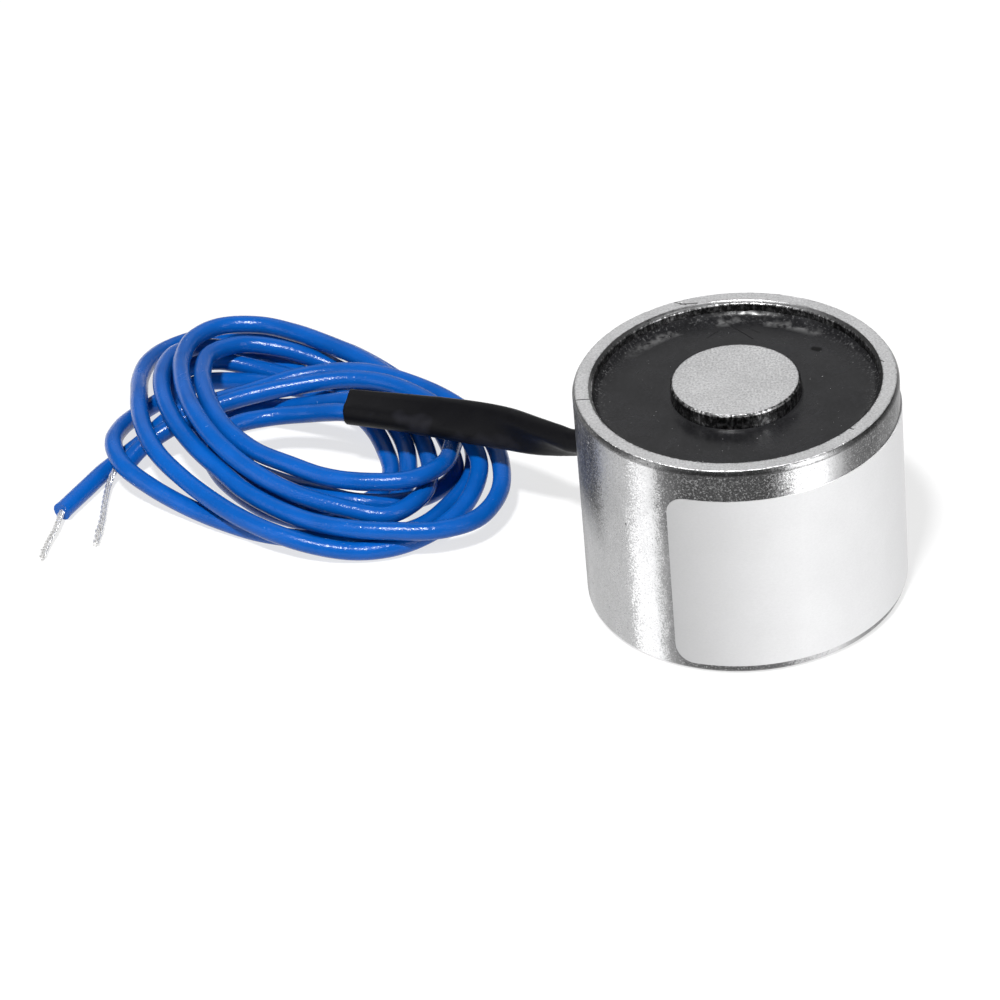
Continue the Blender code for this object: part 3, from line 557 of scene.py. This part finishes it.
def label_film(colour):
    """Silver-white satin film with fine fibres and faint handling marks, and painted light: darker at
    the left, lighter at the right.
    """
    look = Look("label_film", colour, 0.42, 0.3)
    fibres = look.noise(6.0, 3.0, 0.7, place=look.stretched((1.0, 1.0, 2.0)))
    clouds = look.noise(0.22)
    # Painted light: the film darker at the left and lighter at the right
    label_painted_light = look.span(look.axes()[0], -5.5 * MM, 3.0 * MM, 0.7, 1.27)
    tone = look.mix(look.span(clouds, 0.3, 0.7), shade(colour, 0.97), shade(colour, 1.03))
    tone = look.scaled(look.scaled(tone, label_painted_light), look.span(fibres, 0.25, 0.75, 0.96, 1.04))
    rough = look.span(clouds, 0.3, 0.7, 0.38, 0.48)
    return look.finish(tone, rough, fibres, 0.3, 0.006 * MM)


def shrink_sleeve(colour):
    """Matte black shrink tubing with soft wrinkles and grey rubbed spots."""
    look = Look("shrink_sleeve", colour, 0.5, Specular_IOR_Level=0.11)
    wrinkles = look.noise(0.9, 4.0, 0.6, 0.6)
    grain = look.noise(9.0, 3.0, 0.6)
    rubbed = look.span(look.noise(0.35, 2.0), 0.58, 0.72)
    tone = look.mix(rubbed, colour, shade(colour, 4.0))
    rough = look.plus(look.span(wrinkles, 0.3, 0.7, 0.38, 0.5),
                      look.span(grain, 0.3, 0.7, -0.03, 0.05))
    height = look.plus(wrinkles, look.times(grain, 0.15))
    return look.finish(tone, rough, height, 0.3, 0.05 * MM)


def lead_insulation(colour):
    """Glossy blue insulation with an orange-peel skin, scuffs and a few pale flecks."""
    look = Look("lead_insulation", colour, 0.25, Specular_IOR_Level=0.24)
    peel = look.noise(5.0, 2.0, 0.65)
    slow = look.noise(0.35)
    scuffs = look.span(look.noise(1.6, 4.0, 0.7, 1.0), 0.55, 0.75)
    flecks = look.span(look.noise(3.0, 2.0), 0.74, 0.78)
    tone = look.mix(look.span(slow, 0.3, 0.7), shade(colour, 0.9), shade(colour, 1.1))
    tone = look.mix(look.times(flecks, 0.35), tone, (0.25, 0.42, 0.7))
    rough = look.plus(look.span(slow, 0.3, 0.7, 0.18, 0.24), look.times(scuffs, 0.1))
    return look.finish(tone, rough, peel, 0.9, 0.03 * MM)


def plain_metal(name, colour, roughness, features_per_mm, metallic=1.0):
    """A metal with fine grain in its tone, sheen and surface."""
    look = Look(name, colour, roughness, metallic)
    grain = look.noise(features_per_mm, 4.0, 0.6)
    tone = look.mix(look.span(grain, 0.35, 0.7), shade(colour, 0.75), shade(colour, 1.15))
    rough = look.span(grain, 0.3, 0.7, roughness * 0.8, roughness * 1.3)
    return look.finish(tone, rough, grain, 0.3, 0.01 * MM)


def plain_plastic(name, colour, roughness, features_per_mm, **constants):
    """A plastic with a fine skin, slow clouding and uneven gloss."""
    look = Look(name, colour, roughness, **constants)
    skin = look.noise(features_per_mm)
    tone = look.mix(look.noise(features_per_mm * 0.08), shade(colour, 0.9), shade(colour, 1.08))
    rough = look.span(skin, 0.3, 0.7, roughness * 0.85, roughness * 1.2)
    return look.finish(tone, rough, skin, 0.25, 0.01 * MM)


def wound_copper(colour, wire_diameter):
    """Layers of enamelled wire: one ridge a turn, each a little different in tone."""
    look = Look("wound_copper", colour, 0.25, 1.0)
    x, y, z = look.axes()
    turns = look.times(z, 1.0 / wire_diameter)
    ridge = look.math("ABSOLUTE", look.math("SINE", look.times(turns, math.pi)))
    around = look.times(look.math("ARCTAN2", y, x), 0.002)
    lie = look.node("CombineXYZ", {0: look.across(), 1: z, 2: around})
    tones = look.noise(2.0, place=lie)
    tone = look.mix(tones, shade(colour, 0.7), shade(colour, 1.3))
    return look.finish(tone, look.span(tones, 0.3, 0.7, 0.2, 0.34), ridge, 0.8, 0.05 * MM)


def studio_floor(colour):
    """Even pale floor lit through from below, with a barely visible paper tooth."""
    look = Look("studio_floor", colour, 0.9, Specular_IOR_Level=0.1,
                Emission_Color=solid(colour), Emission_Strength=0.77)
    return look.finish(look.mix(look.noise(0.8), shade(colour, 0.25), shade(colour, 0.26)))


# Shape helpers

def link(name, data, material):
    """Put a mesh or curve in the scene as a named piece that rides on the frame."""
    piece = bpy.data.objects.new(name, data)
    bpy.context.scene.collection.objects.link(piece)
    data.materials.append(material)
    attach(piece, "root")
    return piece


def mesh_from(name, bm, sharp_degrees=30.0):
    """A smooth-shaded mesh with its hard edges kept, from a finished bmesh."""
    mesh = bpy.data.meshes.new(name)
    bm.to_mesh(mesh)
    bm.free()
    mesh.shade_smooth()
    mesh.set_sharp_from_angle(angle=math.radians(sharp_degrees))
    return mesh


def piece_from(name, bm, material, sharp_degrees=30.0):
    """A named piece from a finished bmesh."""
    return link(name, mesh_from(name, bm, sharp_degrees), material)


def round_curve(name, radius, resolution):
    """An empty curve that is drawn as a round wire with closed ends."""
    curve = bpy.data.curves.new(name, "CURVE")
    curve.dimensions = "3D"
    curve.bevel_depth = radius
    curve.bevel_resolution = resolution
    curve.use_fill_caps = True
    return curve


def arc(centre_r, centre_z, radius, start, end, steps):
    """Points of a profile's round corner, with its angles in degrees."""
    turn = [math.radians(start + (end - start) * step / steps) for step in range(steps + 1)]
    return [(centre_r + radius * math.cos(a), centre_z + radius * math.sin(a)) for a in turn]


def spun(profile, segments, closed=True, rise=0.0, turns=1.0):
    """Spin a profile of (radius, height) points about Z; a rise for each turn makes a thread."""
    bm = bmesh.new()
    verts = [bm.verts.new((radius, 0.0, height)) for radius, height in profile]
    pairs = list(zip(verts, verts[1:]))
    if closed:
        pairs.append((verts[-1], verts[0]))
    geom = verts + [bm.edges.new(pair) for pair in pairs]
    full = rise == 0.0
    if not full:
        geom.append(bm.faces.new(verts))
    bmesh.ops.spin(bm, geom=geom, axis=(0, 0, 1), cent=(0, 0, 0), angle=math.tau * turns,
                   dvec=(0, 0, rise / segments), steps=round(segments * turns),
                   use_merge=full, use_duplicate=False)
    bmesh.ops.remove_doubles(bm, verts=bm.verts, dist=0.0002 * MM)
    bmesh.ops.recalc_face_normals(bm, faces=bm.faces)
    return bm


def without(piece, cutter_bm):
    """Cut a closed shape out of a piece for good."""
    cutter = bpy.data.objects.new("cutter", mesh_from("cutter", cutter_bm))
    bpy.context.scene.collection.objects.link(cutter)
    modifier = piece.modifiers.new("cut", "BOOLEAN")
    modifier.operation = "DIFFERENCE"
    modifier.solver = "EXACT"
    modifier.object = cutter
    graph = bpy.context.evaluated_depsgraph_get()
    mesh = bpy.data.meshes.new_from_object(piece.evaluated_get(graph))
    piece.modifiers.clear()
    before = piece.data
    piece.data = mesh
    mesh.name = before.name
    bpy.data.meshes.remove(before)
    bpy.data.objects.remove(cutter, do_unlink=True)
    mesh.shade_smooth()
    mesh.set_sharp_from_angle(angle=math.radians(25.0))


def smooth_route(points, spacing, steps=24):
    """Evenly spaced points on a smooth curve through the route's own points."""
    ends = [points[0] * 2 - points[1]] + list(points) + [points[-1] * 2 - points[-2]]
    fine = []
    for before, start, end, after in zip(ends, ends[1:], ends[2:], ends[3:]):
        for step in range(steps):
            t = step / steps
            fine.append(0.5 * (2 * start + (end - before) * t
                               + (2 * before - 5 * start + 4 * end - after) * t ** 2
                               + (3 * start - before - 3 * end + after) * t ** 3))
    fine.append(points[-1])
    lengths = np.cumsum([0.0] + [(far - near).length for near, far in zip(fine, fine[1:])])
    count = max(2, round(lengths[-1] / spacing) + 1)
    places = np.linspace(0.0, lengths[-1], count)
    columns = [np.interp(places, lengths, [point[axis] for point in fine]) for axis in range(3)]
    return [Vector(place) for place in zip(*columns)]


def in_metres(points):
    """Route points given in millimetres as vectors in metres."""
    return [Vector(point) * MM for point in points]


def stations_along(route, rolls):
    """Frames along a route: the centre, the width axis turned by a roll, and the depth axis."""
    frames = []
    for index, centre in enumerate(route):
        ahead = route[min(index + 1, len(route) - 1)] - route[max(index - 1, 0)]
        ahead.normalize()
        level = ahead.cross(Vector((0, 0, 1))).normalized()
        upright = level.cross(ahead)
        roll = rolls[index]
        frames.append((centre, level * math.cos(roll) + upright * math.sin(roll),
                       upright * math.cos(roll) - level * math.sin(roll)))
    return frames


def sleeve_frames(sizes, spacing):
    """Frames along the sleeve: it rolls on just past the hole, and then back to its free end."""
    inner = sizes.cup_radius - sizes.cup_wall - SEAT_GAP
    start = [HOLE_DIRECTION * inner, HOLE_DIRECTION * sizes.cup_radius]
    points = [Vector((place.x, place.y, HOLE_HEIGHT)) for place in start] + in_metres(SLEEVE_ROUTE)
    route = smooth_route(points, spacing)
    last = len(route) - 1
    rolls = []
    for index in range(last + 1):
        left = 1.0 - index / last
        untwisted = max(0.0, 1.0 - (1.0 - left) / SLEEVE_TWIST_START)
        twisted = min(1.0, left / (1.0 - SLEEVE_TWIST_START)) ** SLEEVE_TWIST_POWER
        rolls.append(SLEEVE_ROLL_AT_END + SLEEVE_TWIST * twisted
                     + (SLEEVE_ROLL_AT_HOLE - SLEEVE_ROLL_AT_END - SLEEVE_TWIST) * untwisted ** 2)
    return stations_along(route, rolls)


def lead_route(sizes, side, loops):
    """A lead from its joint, round the gap, out through the sleeve and along its loops."""
    spread = sizes.lead_diameter / 2 + SLEEVE_GAP
    frames = sleeve_frames(sizes, sizes.lead_diameter)
    height = (frames[0][0] + frames[0][1] * side * spread).z
    rings = [(TUCK_RADIUS, TUCK_LENGTH + (TUCK_BEND - TUCK_LENGTH) * step / ARC_STEPS)
             for step in range(ARC_STEPS + 1)]
    rings.append((TUCK_RADIUS + TUCK_BEND_EASE, TUCK_BEND_EASE))
    tuck = []
    for radius, place in rings:
        angle = HOLE_ANGLE - side * place / TUCK_RADIUS
        tuck.append(Vector((radius * math.cos(angle), radius * math.sin(angle), height)))
    sleeved = [centre + width * side * spread for centre, width, depth in frames]
    return tuck + sleeved + in_metres(loops)


def settings_of(context):
    """The sizes and the finishes."""
    return context.scene.magnet_sizes, context.scene.magnet_finishes


class MAGNET_OT_stage(Operator):
    """Set up the camera, the floor, the lights and the world"""
    bl_idname = "magnet.stage"
    bl_label = "Studio"

    def execute(self, context):
        scene = context.scene
        studio = scene.magnet_studio
        scene.view_settings.view_transform = "Standard"
        camera_data = bpy.data.cameras.new("photo_camera")
        camera_data.lens = studio.focal_length
        camera_data.sensor_width = SENSOR_WIDTH
        camera_data.clip_start = 0.01
        camera_data.clip_end = 10.0
        camera = bpy.data.objects.new("photo_camera", camera_data)
        scene.collection.objects.link(camera)
        turn = Matrix((CAMERA_RIGHT, CAMERA_UP, CAMERA_RIGHT.cross(CAMERA_UP))).transposed()
        camera.matrix_world = Matrix.Translation(CAMERA_PLACE) @ turn.to_4x4()
        scene.camera = camera

        bm = bmesh.new()
        bmesh.ops.create_grid(bm, x_segments=2, y_segments=2, size=FLOOR_REACH)
        mesh = bpy.data.meshes.new("floor")
        bm.to_mesh(mesh)
        bm.free()
        mesh.materials.append(studio_floor(studio.floor))
        floor = bpy.data.objects.new("floor", mesh)
        scene.collection.objects.link(floor)

        world = bpy.data.worlds.new("studio_world")
        world.use_nodes = True
        background = world.node_tree.nodes["Background"]
        background.inputs["Color"].default_value = (1.0, 1.0, 1.0, 1.0)
        background.inputs["Strength"].default_value = studio.world_light
        scene.world = world

        for name, azimuth, elevation, distance, width, height, glow in SOFTBOXES:
            data = bpy.data.lights.new(name, "AREA")
            data.shape = "RECTANGLE"
            data.size = width
            data.size_y = height
            data.energy = glow * studio.light * math.pi * width * height
            light = bpy.data.objects.new(name, data)
            scene.collection.objects.link(light)
            turn, lift = math.radians(azimuth), math.radians(elevation)
            towards = Vector((math.sin(turn) * math.cos(lift), -math.cos(turn) * math.cos(lift),
                              math.sin(lift)))
            light.location = LIGHT_AIM + towards * distance
            light.rotation_mode = "QUATERNION"
            light.rotation_quaternion = towards.to_track_quat("Z", "Y")
        return {"FINISHED"}


def stripped_strands(name, route, sizes, material, seed):
    """Twisted tinned strands along a route, opening a little before the free end."""
    radius = sizes.strand_diameter / 2
    line = smooth_route(in_metres(route), STRAND_STEP)
    frames = stations_along(line, [0.0] * len(line))
    last = len(frames) - 1
    curve = round_curve(name, radius, 2)
    count = sizes.strand_count
    for strand in range(count + 1):
        loose = noise.noise(Vector((seed, strand * 1.7, 0.3)))
        cut = last - int(abs(loose) * 6)
        spline = curve.splines.new("POLY")
        spline.points.add(cut)
        for index in range(cut + 1):
            centre, width, depth = frames[index]
            share = index / last
            open_up = math.exp(-((share - STRAND_OPEN_AT) / STRAND_OPEN_WIDTH) ** 2)
            angle = math.tau * (strand / count + STRAND_TURNS * share)
            reach = 0.0 if strand == count else radius * (1.9 + open_up * (0.5 + loose * 1.5))
            place = centre + (width * math.cos(angle) + depth * math.sin(angle)) * reach
            place.z = max(place.z, radius)
            spline.points[index].co = (*place, 1.0)
    return link(name, curve, material)


class MAGNET_OT_leads(Operator):
    """Make both blue leads as cords, with their loops and their stripped ends"""
    bl_idname = "magnet.leads"
    bl_label = "Leads"

    def execute(self, context):
        sizes, finishes = settings_of(context)
        blue = lead_insulation(finishes.lead)
        tinned = plain_metal("tinned_copper", finishes.strand, 0.24, 6.0, 0.7)
        radius = sizes.lead_diameter / 2
        for name, side, loops, tip, nodes in (
                ("a", 1, LEAD_A_LOOPS, TIP_A_ROUTE, ("lead_a", "lead_loops", "lead_a_tail")),
                ("b", -1, LEAD_B_LOOPS, TIP_B_ROUTE, ("lead_b",))):
            route = smooth_route(lead_route(sizes, side, loops), radius * 0.6)
            curve = round_curve("blue_lead_" + name, radius, 5)
            spline = curve.splines.new("POLY")
            spline.points.add(len(route) - 1)
            for point, place in zip(spline.points, route):
                place.z = max(place.z, radius)
                point.co = (*place, 1.0)
                flare = max(0.0, 1.0 - (route[-1] - place).length / FLARE_LENGTH)
                point.radius = 1.0 + 0.012 * noise.noise(place / (1.5 * MM)) + FLARE * flare ** 2
            lead = link("blue_lead_" + name, curve, blue)
            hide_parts(*nodes)
            strands = stripped_strands("strands_" + name, tip, sizes, tinned, side)
            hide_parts("stripped_end_" + name)
        return {"FINISHED"}


class MAGNET_OT_sleeve(Operator):
    """Make the flattened shrink sleeve over both leads"""
    bl_idname = "magnet.sleeve"
    bl_label = "Sleeve"

    def execute(self, context):
        sizes, finishes = settings_of(context)
        spread = sizes.lead_diameter / 2 + SLEEVE_GAP
        outer = spread + sizes.sleeve_wall
        frames = sleeve_frames(sizes, SLEEVE_SPACING)
        bm = bmesh.new()
        bmesh.ops.create_circle(bm, segments=SLEEVE_SIDES, radius=outer, cap_ends=False)
        ring = bm.verts[:]
        angles = [math.atan2(vert.co.y, vert.co.x) for vert in ring]
        last = len(frames) - 1
        for index, (centre, width, depth) in enumerate(frames):
            slant = max(0.0, 1.0 - (last - index) * SLEEVE_SPACING / SLEEVE_SLANT_REACH)
            if index:
                edges = [edge for edge in bm.edges if edge.verts[0] in held and edge.verts[1] in held]
                made = bmesh.ops.extrude_edge_only(bm, edges=edges)["geom"]
                fresh = {item for item in made if isinstance(item, bmesh.types.BMVert)}
                pairs = {}
                for vert in ring:
                    for edge in vert.link_edges:
                        other = edge.other_vert(vert)
                        if other in fresh:
                            pairs[vert] = other
                ring = [pairs[vert] for vert in ring]
            held = set(ring)
            for vert, angle in zip(ring, angles):
                side = math.copysign(min(1.0, abs(math.cos(angle)) * 4.0), math.cos(angle))
                across = outer * math.cos(angle) + side * spread
                waist = SLEEVE_WAIST * math.exp(-(across / SLEEVE_WAIST_REACH) ** 2)
                puff = SLEEVE_PUFF * noise.noise((centre + width * across) / SLEEVE_PUFF_SIZE)
                thick = (outer - waist + puff) * math.sin(angle)
                back = slant * SLEEVE_SLANT * (1.0 - across / (outer + spread))
                ragged = 0.05 * MM * slant * noise.noise((width * across + depth * thick) / (0.3 * MM))
                vert.co = centre + width * across + depth * thick
                vert.co += width.cross(depth) * (back + ragged)
        bmesh.ops.recalc_face_normals(bm, faces=bm.faces)
        sleeve = piece_from("shrink_sleeve", bm, shrink_sleeve(finishes.sleeve))
        wall = sleeve.modifiers.new("wall", "SOLIDIFY")
        wall.thickness = sizes.sleeve_wall * 0.95
        wall.offset = -1.0
        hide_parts("lead_sleeve")
        return {"FINISHED"}


class MAGNET_OT_cup(Operator):
    """Make the turned steel cup with its ground rim and its lead hole"""
    bl_idname = "magnet.cup"
    bl_label = "Cup"

    def execute(self, context):
        sizes, finishes = settings_of(context)
        top = sizes.cup_height
        outer = sizes.cup_radius
        inner = outer - sizes.cup_wall
        land = outer - sizes.rim_chamfer * 0.6
        profile = [(SPIGOT_BORE, 0.2 * MM), (SPIGOT_BORE + 0.2 * MM, 0.0)]
        profile += arc(outer - sizes.base_round, sizes.base_round, sizes.base_round, -90, 0, 8)
        profile += [(outer, sizes.base_round + (top - sizes.rim_chamfer - sizes.base_round) * step / 8)
                    for step in range(1, 8)]
        profile += [(outer, top - sizes.rim_chamfer - 0.02 * MM),
                    (outer - 0.012 * MM, top - sizes.rim_chamfer + 0.03 * MM),
                    (land + 0.02 * MM, top - 0.03 * MM), (land - 0.02 * MM, top),
                    (inner + 0.2 * MM, top), (inner + 0.16 * MM, top - 0.03 * MM),
                    (inner + 0.02 * MM, top - 0.22 * MM), (inner, top - 0.26 * MM)]
        profile += [(inner, top - (top - WALL_FOOT) * step / 6) for step in range(1, 6)]
        profile += arc(inner - 0.3 * MM, sizes.cup_floor + 0.3 * MM, 0.3 * MM, 0, -90, 4)
        profile += [(SPIGOT_BORE, sizes.cup_floor)]
        bm = spun(profile, CUP_SEGMENTS)
        for vert in bm.verts:
            radius = math.hypot(vert.co.x, vert.co.y)
            if vert.co.z > top - sizes.rim_chamfer * 1.5:
                rough = noise.noise(vert.co / (0.5 * MM)) * 0.012 * MM
                rough += min(0.0, noise.noise(vert.co / (0.9 * MM)) + 0.45) * 0.12 * MM
                edge = land if radius > (outer + inner) / 2 else inner
                if abs(radius - edge) < 0.09 * MM or radius > land:
                    vert.co.z += min(0.0, rough)
        cup = piece_from("steel_cup", bm, turned_steel(finishes.steel), HARD_EDGE)
        cup.data.materials.append(ground_steel(finishes.steel))
        clear = sizes.lead_diameter + 2 * SLEEVE_GAP + sizes.sleeve_wall + HOLE_SIDE_ROOM
        across = HOLE_DIRECTION * (outer - sizes.cup_wall / 2)
        centre = across + Vector((0, 0, HOLE_HEIGHT))
        turn = Vector((0, 0, 1)).rotation_difference(HOLE_DIRECTION).to_matrix().to_4x4()
        drill = bmesh.new()
        bmesh.ops.create_cone(drill, cap_ends=True, segments=64, radius1=clear, radius2=clear,
                              depth=sizes.cup_wall * 3, matrix=Matrix.Translation(centre) @ turn)
        without(cup, drill)
        for polygon in cup.data.polygons:
            middle = polygon.center
            radius = math.hypot(middle.x, middle.y)
            if middle.z > top - 0.06 * MM and inner + 0.18 * MM < radius < land + 0.01 * MM:
                polygon.material_index = 1
        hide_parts("cup_shell")
        return {"FINISHED"}


class MAGNET_OT_pole(Operator):
    """Make the steel pole with its ground face and the thread in its foot"""
    bl_idname = "magnet.pole"
    bl_label = "Pole"

    def execute(self, context):
        sizes, finishes = settings_of(context)
        top = sizes.cup_height
        radius = sizes.pole_radius
        chamfer = sizes.pole_chamfer
        seat = sizes.cup_floor + SEAT_GAP
        low = SEAT_GAP
        deep = low + TAP_DEPTH
        tip = deep + sizes.tap_radius / math.tan(TAP_TIP_ANGLE)
        profile = [(0.0, top), (radius * 0.5, top), (radius - chamfer - 0.02 * MM, top),
                   (radius - chamfer * 0.55, top - chamfer * 0.4), (radius - 0.01 * MM, top - chamfer),
                   (radius, top - chamfer - 0.03 * MM), (radius, seat),
                   (SPIGOT_RADIUS, seat), (SPIGOT_RADIUS, low + 0.15 * MM), (2.85 * MM, low),
                   (sizes.tap_radius + 0.25 * MM, low), (sizes.tap_radius, low + 0.25 * MM),
                   (sizes.tap_radius, deep), (0.0, tip)]
        bm = spun(profile, ROUND_SEGMENTS, closed=False)
        pole = piece_from("steel_pole", bm, turned_steel(finishes.steel), HARD_EDGE)
        pole.data.materials.append(ground_steel(finishes.steel))
        for polygon in pole.data.polygons:
            if polygon.center.z > top - 0.01 * MM:
                polygon.material_index = 1
        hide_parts("pole_core")
        pitch = sizes.tap_pitch
        ridge = 0.25 * MM
        wall = sizes.tap_radius + 0.02 * MM
        foot = low + 0.3 * MM
        thread = [(wall, foot), (wall - ridge, foot + pitch * 0.4),
                  (wall - ridge, foot + pitch * 0.52), (wall, foot + pitch * 0.92)]
        bm = spun(thread, 32, rise=pitch, turns=THREAD_TURNS)
        piece_from("tapped_thread", bm, pole.data.materials[0])
        return {"FINISHED"}


class MAGNET_OT_resin(Operator):
    """Make the cast resin with its creep up the walls and its uneven top"""
    bl_idname = "magnet.resin"
    bl_label = "Resin"

    def execute(self, context):
        sizes, finishes = settings_of(context)
        level = sizes.cup_height - sizes.resin_depth
        inner = sizes.pole_radius + 0.01 * MM
        outer = sizes.cup_radius - sizes.cup_wall - 0.01 * MM
        under = level - RESIN_THICKNESS
        steps = 40
        top = []
        for step in range(steps + 1):
            radius = outer + (inner - outer) * step / steps
            creep = sizes.resin_rise * math.exp(-(outer - radius) / (0.3 * MM))
            creep += 0.12 * MM * math.exp(-(radius - inner) / (0.15 * MM))
            top.append((radius, level + creep))
        profile = [(inner, under), (RESIN_SKIRT_RADIUS, under),
                   (RESIN_SKIRT_RADIUS, RESIN_SKIRT_FOOT), (outer, RESIN_SKIRT_FOOT)] + top
        bm = spun(profile, ROUND_SEGMENTS)
        for vert in bm.verts:
            radius = math.hypot(vert.co.x, vert.co.y)
            if vert.co.z > under + 0.5 * MM and inner < radius < outer + 0.001 * MM:
                flat = Vector((vert.co.x, vert.co.y, 0.0))
                wave = noise.noise(flat / (2.2 * MM)) * 0.035 * MM
                edge = math.exp(-(outer - radius) / (0.4 * MM))
                wave += noise.noise(flat / (0.7 * MM) + Vector((0, 0, 3))) * 0.10 * MM * edge
                vert.co.z += wave
        resin = piece_from("cast_resin", bm, cast_resin(finishes.resin))
        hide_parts("resin_fill")
        return {"FINISHED"}


class MAGNET_OT_label(Operator):
    """Make the bare label film wrapped round the cup"""
    bl_idname = "magnet.label"
    bl_label = "Label"

    def execute(self, context):
        sizes, finishes = settings_of(context)
        inner = sizes.cup_radius + 0.012 * MM
        low, high = LABEL_BOX[0].z, LABEL_BOX[1].z
        width = (LABEL_RIGHT - LABEL_LEFT) * inner
        height = high - low
        bm = bmesh.new()
        bmesh.ops.create_grid(bm, x_segments=1, y_segments=1, size=0.5,
                              matrix=Matrix.Diagonal((width, height, 1.0, 1.0)))
        bmesh.ops.bevel(bm, geom=bm.verts[:], offset=sizes.label_corner, offset_type="OFFSET",
                        segments=10, profile=0.5, affect="VERTICES", material=-1)
        for length, parts, along in ((width, LABEL_COLUMNS, Vector((1, 0, 0))),
                                     (height, LABEL_ROWS, Vector((0, 1, 0)))):
            for part in range(1, parts):
                bmesh.ops.bisect_plane(bm, geom=bm.verts[:] + bm.edges[:] + bm.faces[:],
                                       plane_co=along * (-length / 2 + length * part / parts),
                                       plane_no=along)
        front = bmesh.ops.extrude_face_region(bm, geom=bm.faces[:])
        raised = [item for item in front["geom"] if isinstance(item, bmesh.types.BMVert)]
        bmesh.ops.translate(bm, verts=raised, vec=(0, 0, sizes.label_thickness))
        for vert in bm.verts:
            around = (LABEL_LEFT + LABEL_RIGHT) / 2 + vert.co.x / inner
            wave = noise.noise(Vector((vert.co.x, vert.co.y, 0.0)) / (3.0 * MM)) * 0.008 * MM
            radius = inner + vert.co.z + max(0.0, wave)
            vert.co = (radius * math.sin(around), -radius * math.cos(around),
                       (low + high) / 2 + vert.co.y)
        bmesh.ops.recalc_face_normals(bm, faces=bm.faces)
        label = piece_from("label_film", bm, label_film(finishes.label))
        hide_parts("label")
        return {"FINISHED"}


class MAGNET_OT_inside(Operator):
    """Give the pieces inside the cup their finishes"""
    bl_idname = "magnet.inside"
    bl_label = "Inside"

    def execute(self, context):
        finishes = context.scene.magnet_finishes
        nylon = plain_plastic("moulded_nylon", finishes.nylon, 0.45, 4.0, Subsurface_Weight=0.08)
        tape = plain_plastic("winding_tape", finishes.tape, 0.22, 3.0, Coat_Weight=0.4)
        tubing = plain_plastic("joint_tubing", finishes.tubing, 0.5, 5.0)
        copper = wound_copper(finishes.copper, 0.2 * MM)
        solder = plain_metal("solder", finishes.solder, 0.3, 4.0)
        for node, material in (("bobbin", nylon), ("winding_tape", tape), ("coil_winding", copper),
                               ("joint_tubing_a", tubing), ("joint_tubing_b", tubing),
                               ("solder_joint_a", solder), ("solder_joint_b", solder),
                               ("winding_tail_a", copper), ("winding_tail_b", copper)):
            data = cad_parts[node].data
            data.materials.clear()
            data.materials.append(material)
        return {"FINISHED"}


MAKERS = (MAGNET_OT_stage, MAGNET_OT_leads, MAGNET_OT_sleeve, MAGNET_OT_cup, MAGNET_OT_pole,
          MAGNET_OT_resin, MAGNET_OT_label, MAGNET_OT_inside)
GROUPS = (("magnet_sizes", MagnetSizes), ("magnet_finishes", MagnetFinishes),
          ("magnet_studio", StudioSettings))


class MAGNET_PT_sidebar(Panel):
    """Lists the pieces and their settings in the sidebar"""
    bl_idname = "MAGNET_PT_sidebar"
    bl_label = "Holding Electromagnet"
    bl_space_type = "VIEW_3D"
    bl_region_type = "UI"
    bl_category = "Magnet"

    def draw(self, context):
        for maker in MAKERS:
            self.layout.operator(maker.bl_idname)
        for name, group in GROUPS:
            box = self.layout.box()
            for setting in group.__annotations__:
                box.prop(getattr(context.scene, name), setting)


def register():
    """Register the settings, the operators and the panel."""
    for name, group in GROUPS:
        bpy.utils.register_class(group)
        setattr(bpy.types.Scene, name, PointerProperty(type=group))
    for maker in MAKERS:
        bpy.utils.register_class(maker)
    bpy.utils.register_class(MAGNET_PT_sidebar)


def unregister():
    """Remove the panel, the operators and the settings."""
    bpy.utils.unregister_class(MAGNET_PT_sidebar)
    for maker in reversed(MAKERS):
        bpy.utils.unregister_class(maker)
    for name, group in reversed(GROUPS):
        delattr(bpy.types.Scene, name)
        bpy.utils.unregister_class(group)


def main():
    """Build every piece."""
    register()
    for maker in MAKERS:
        family, name = maker.bl_idname.split(".")
        getattr(getattr(bpy.ops, family), name)()


if __name__ == "__main__":
    main()
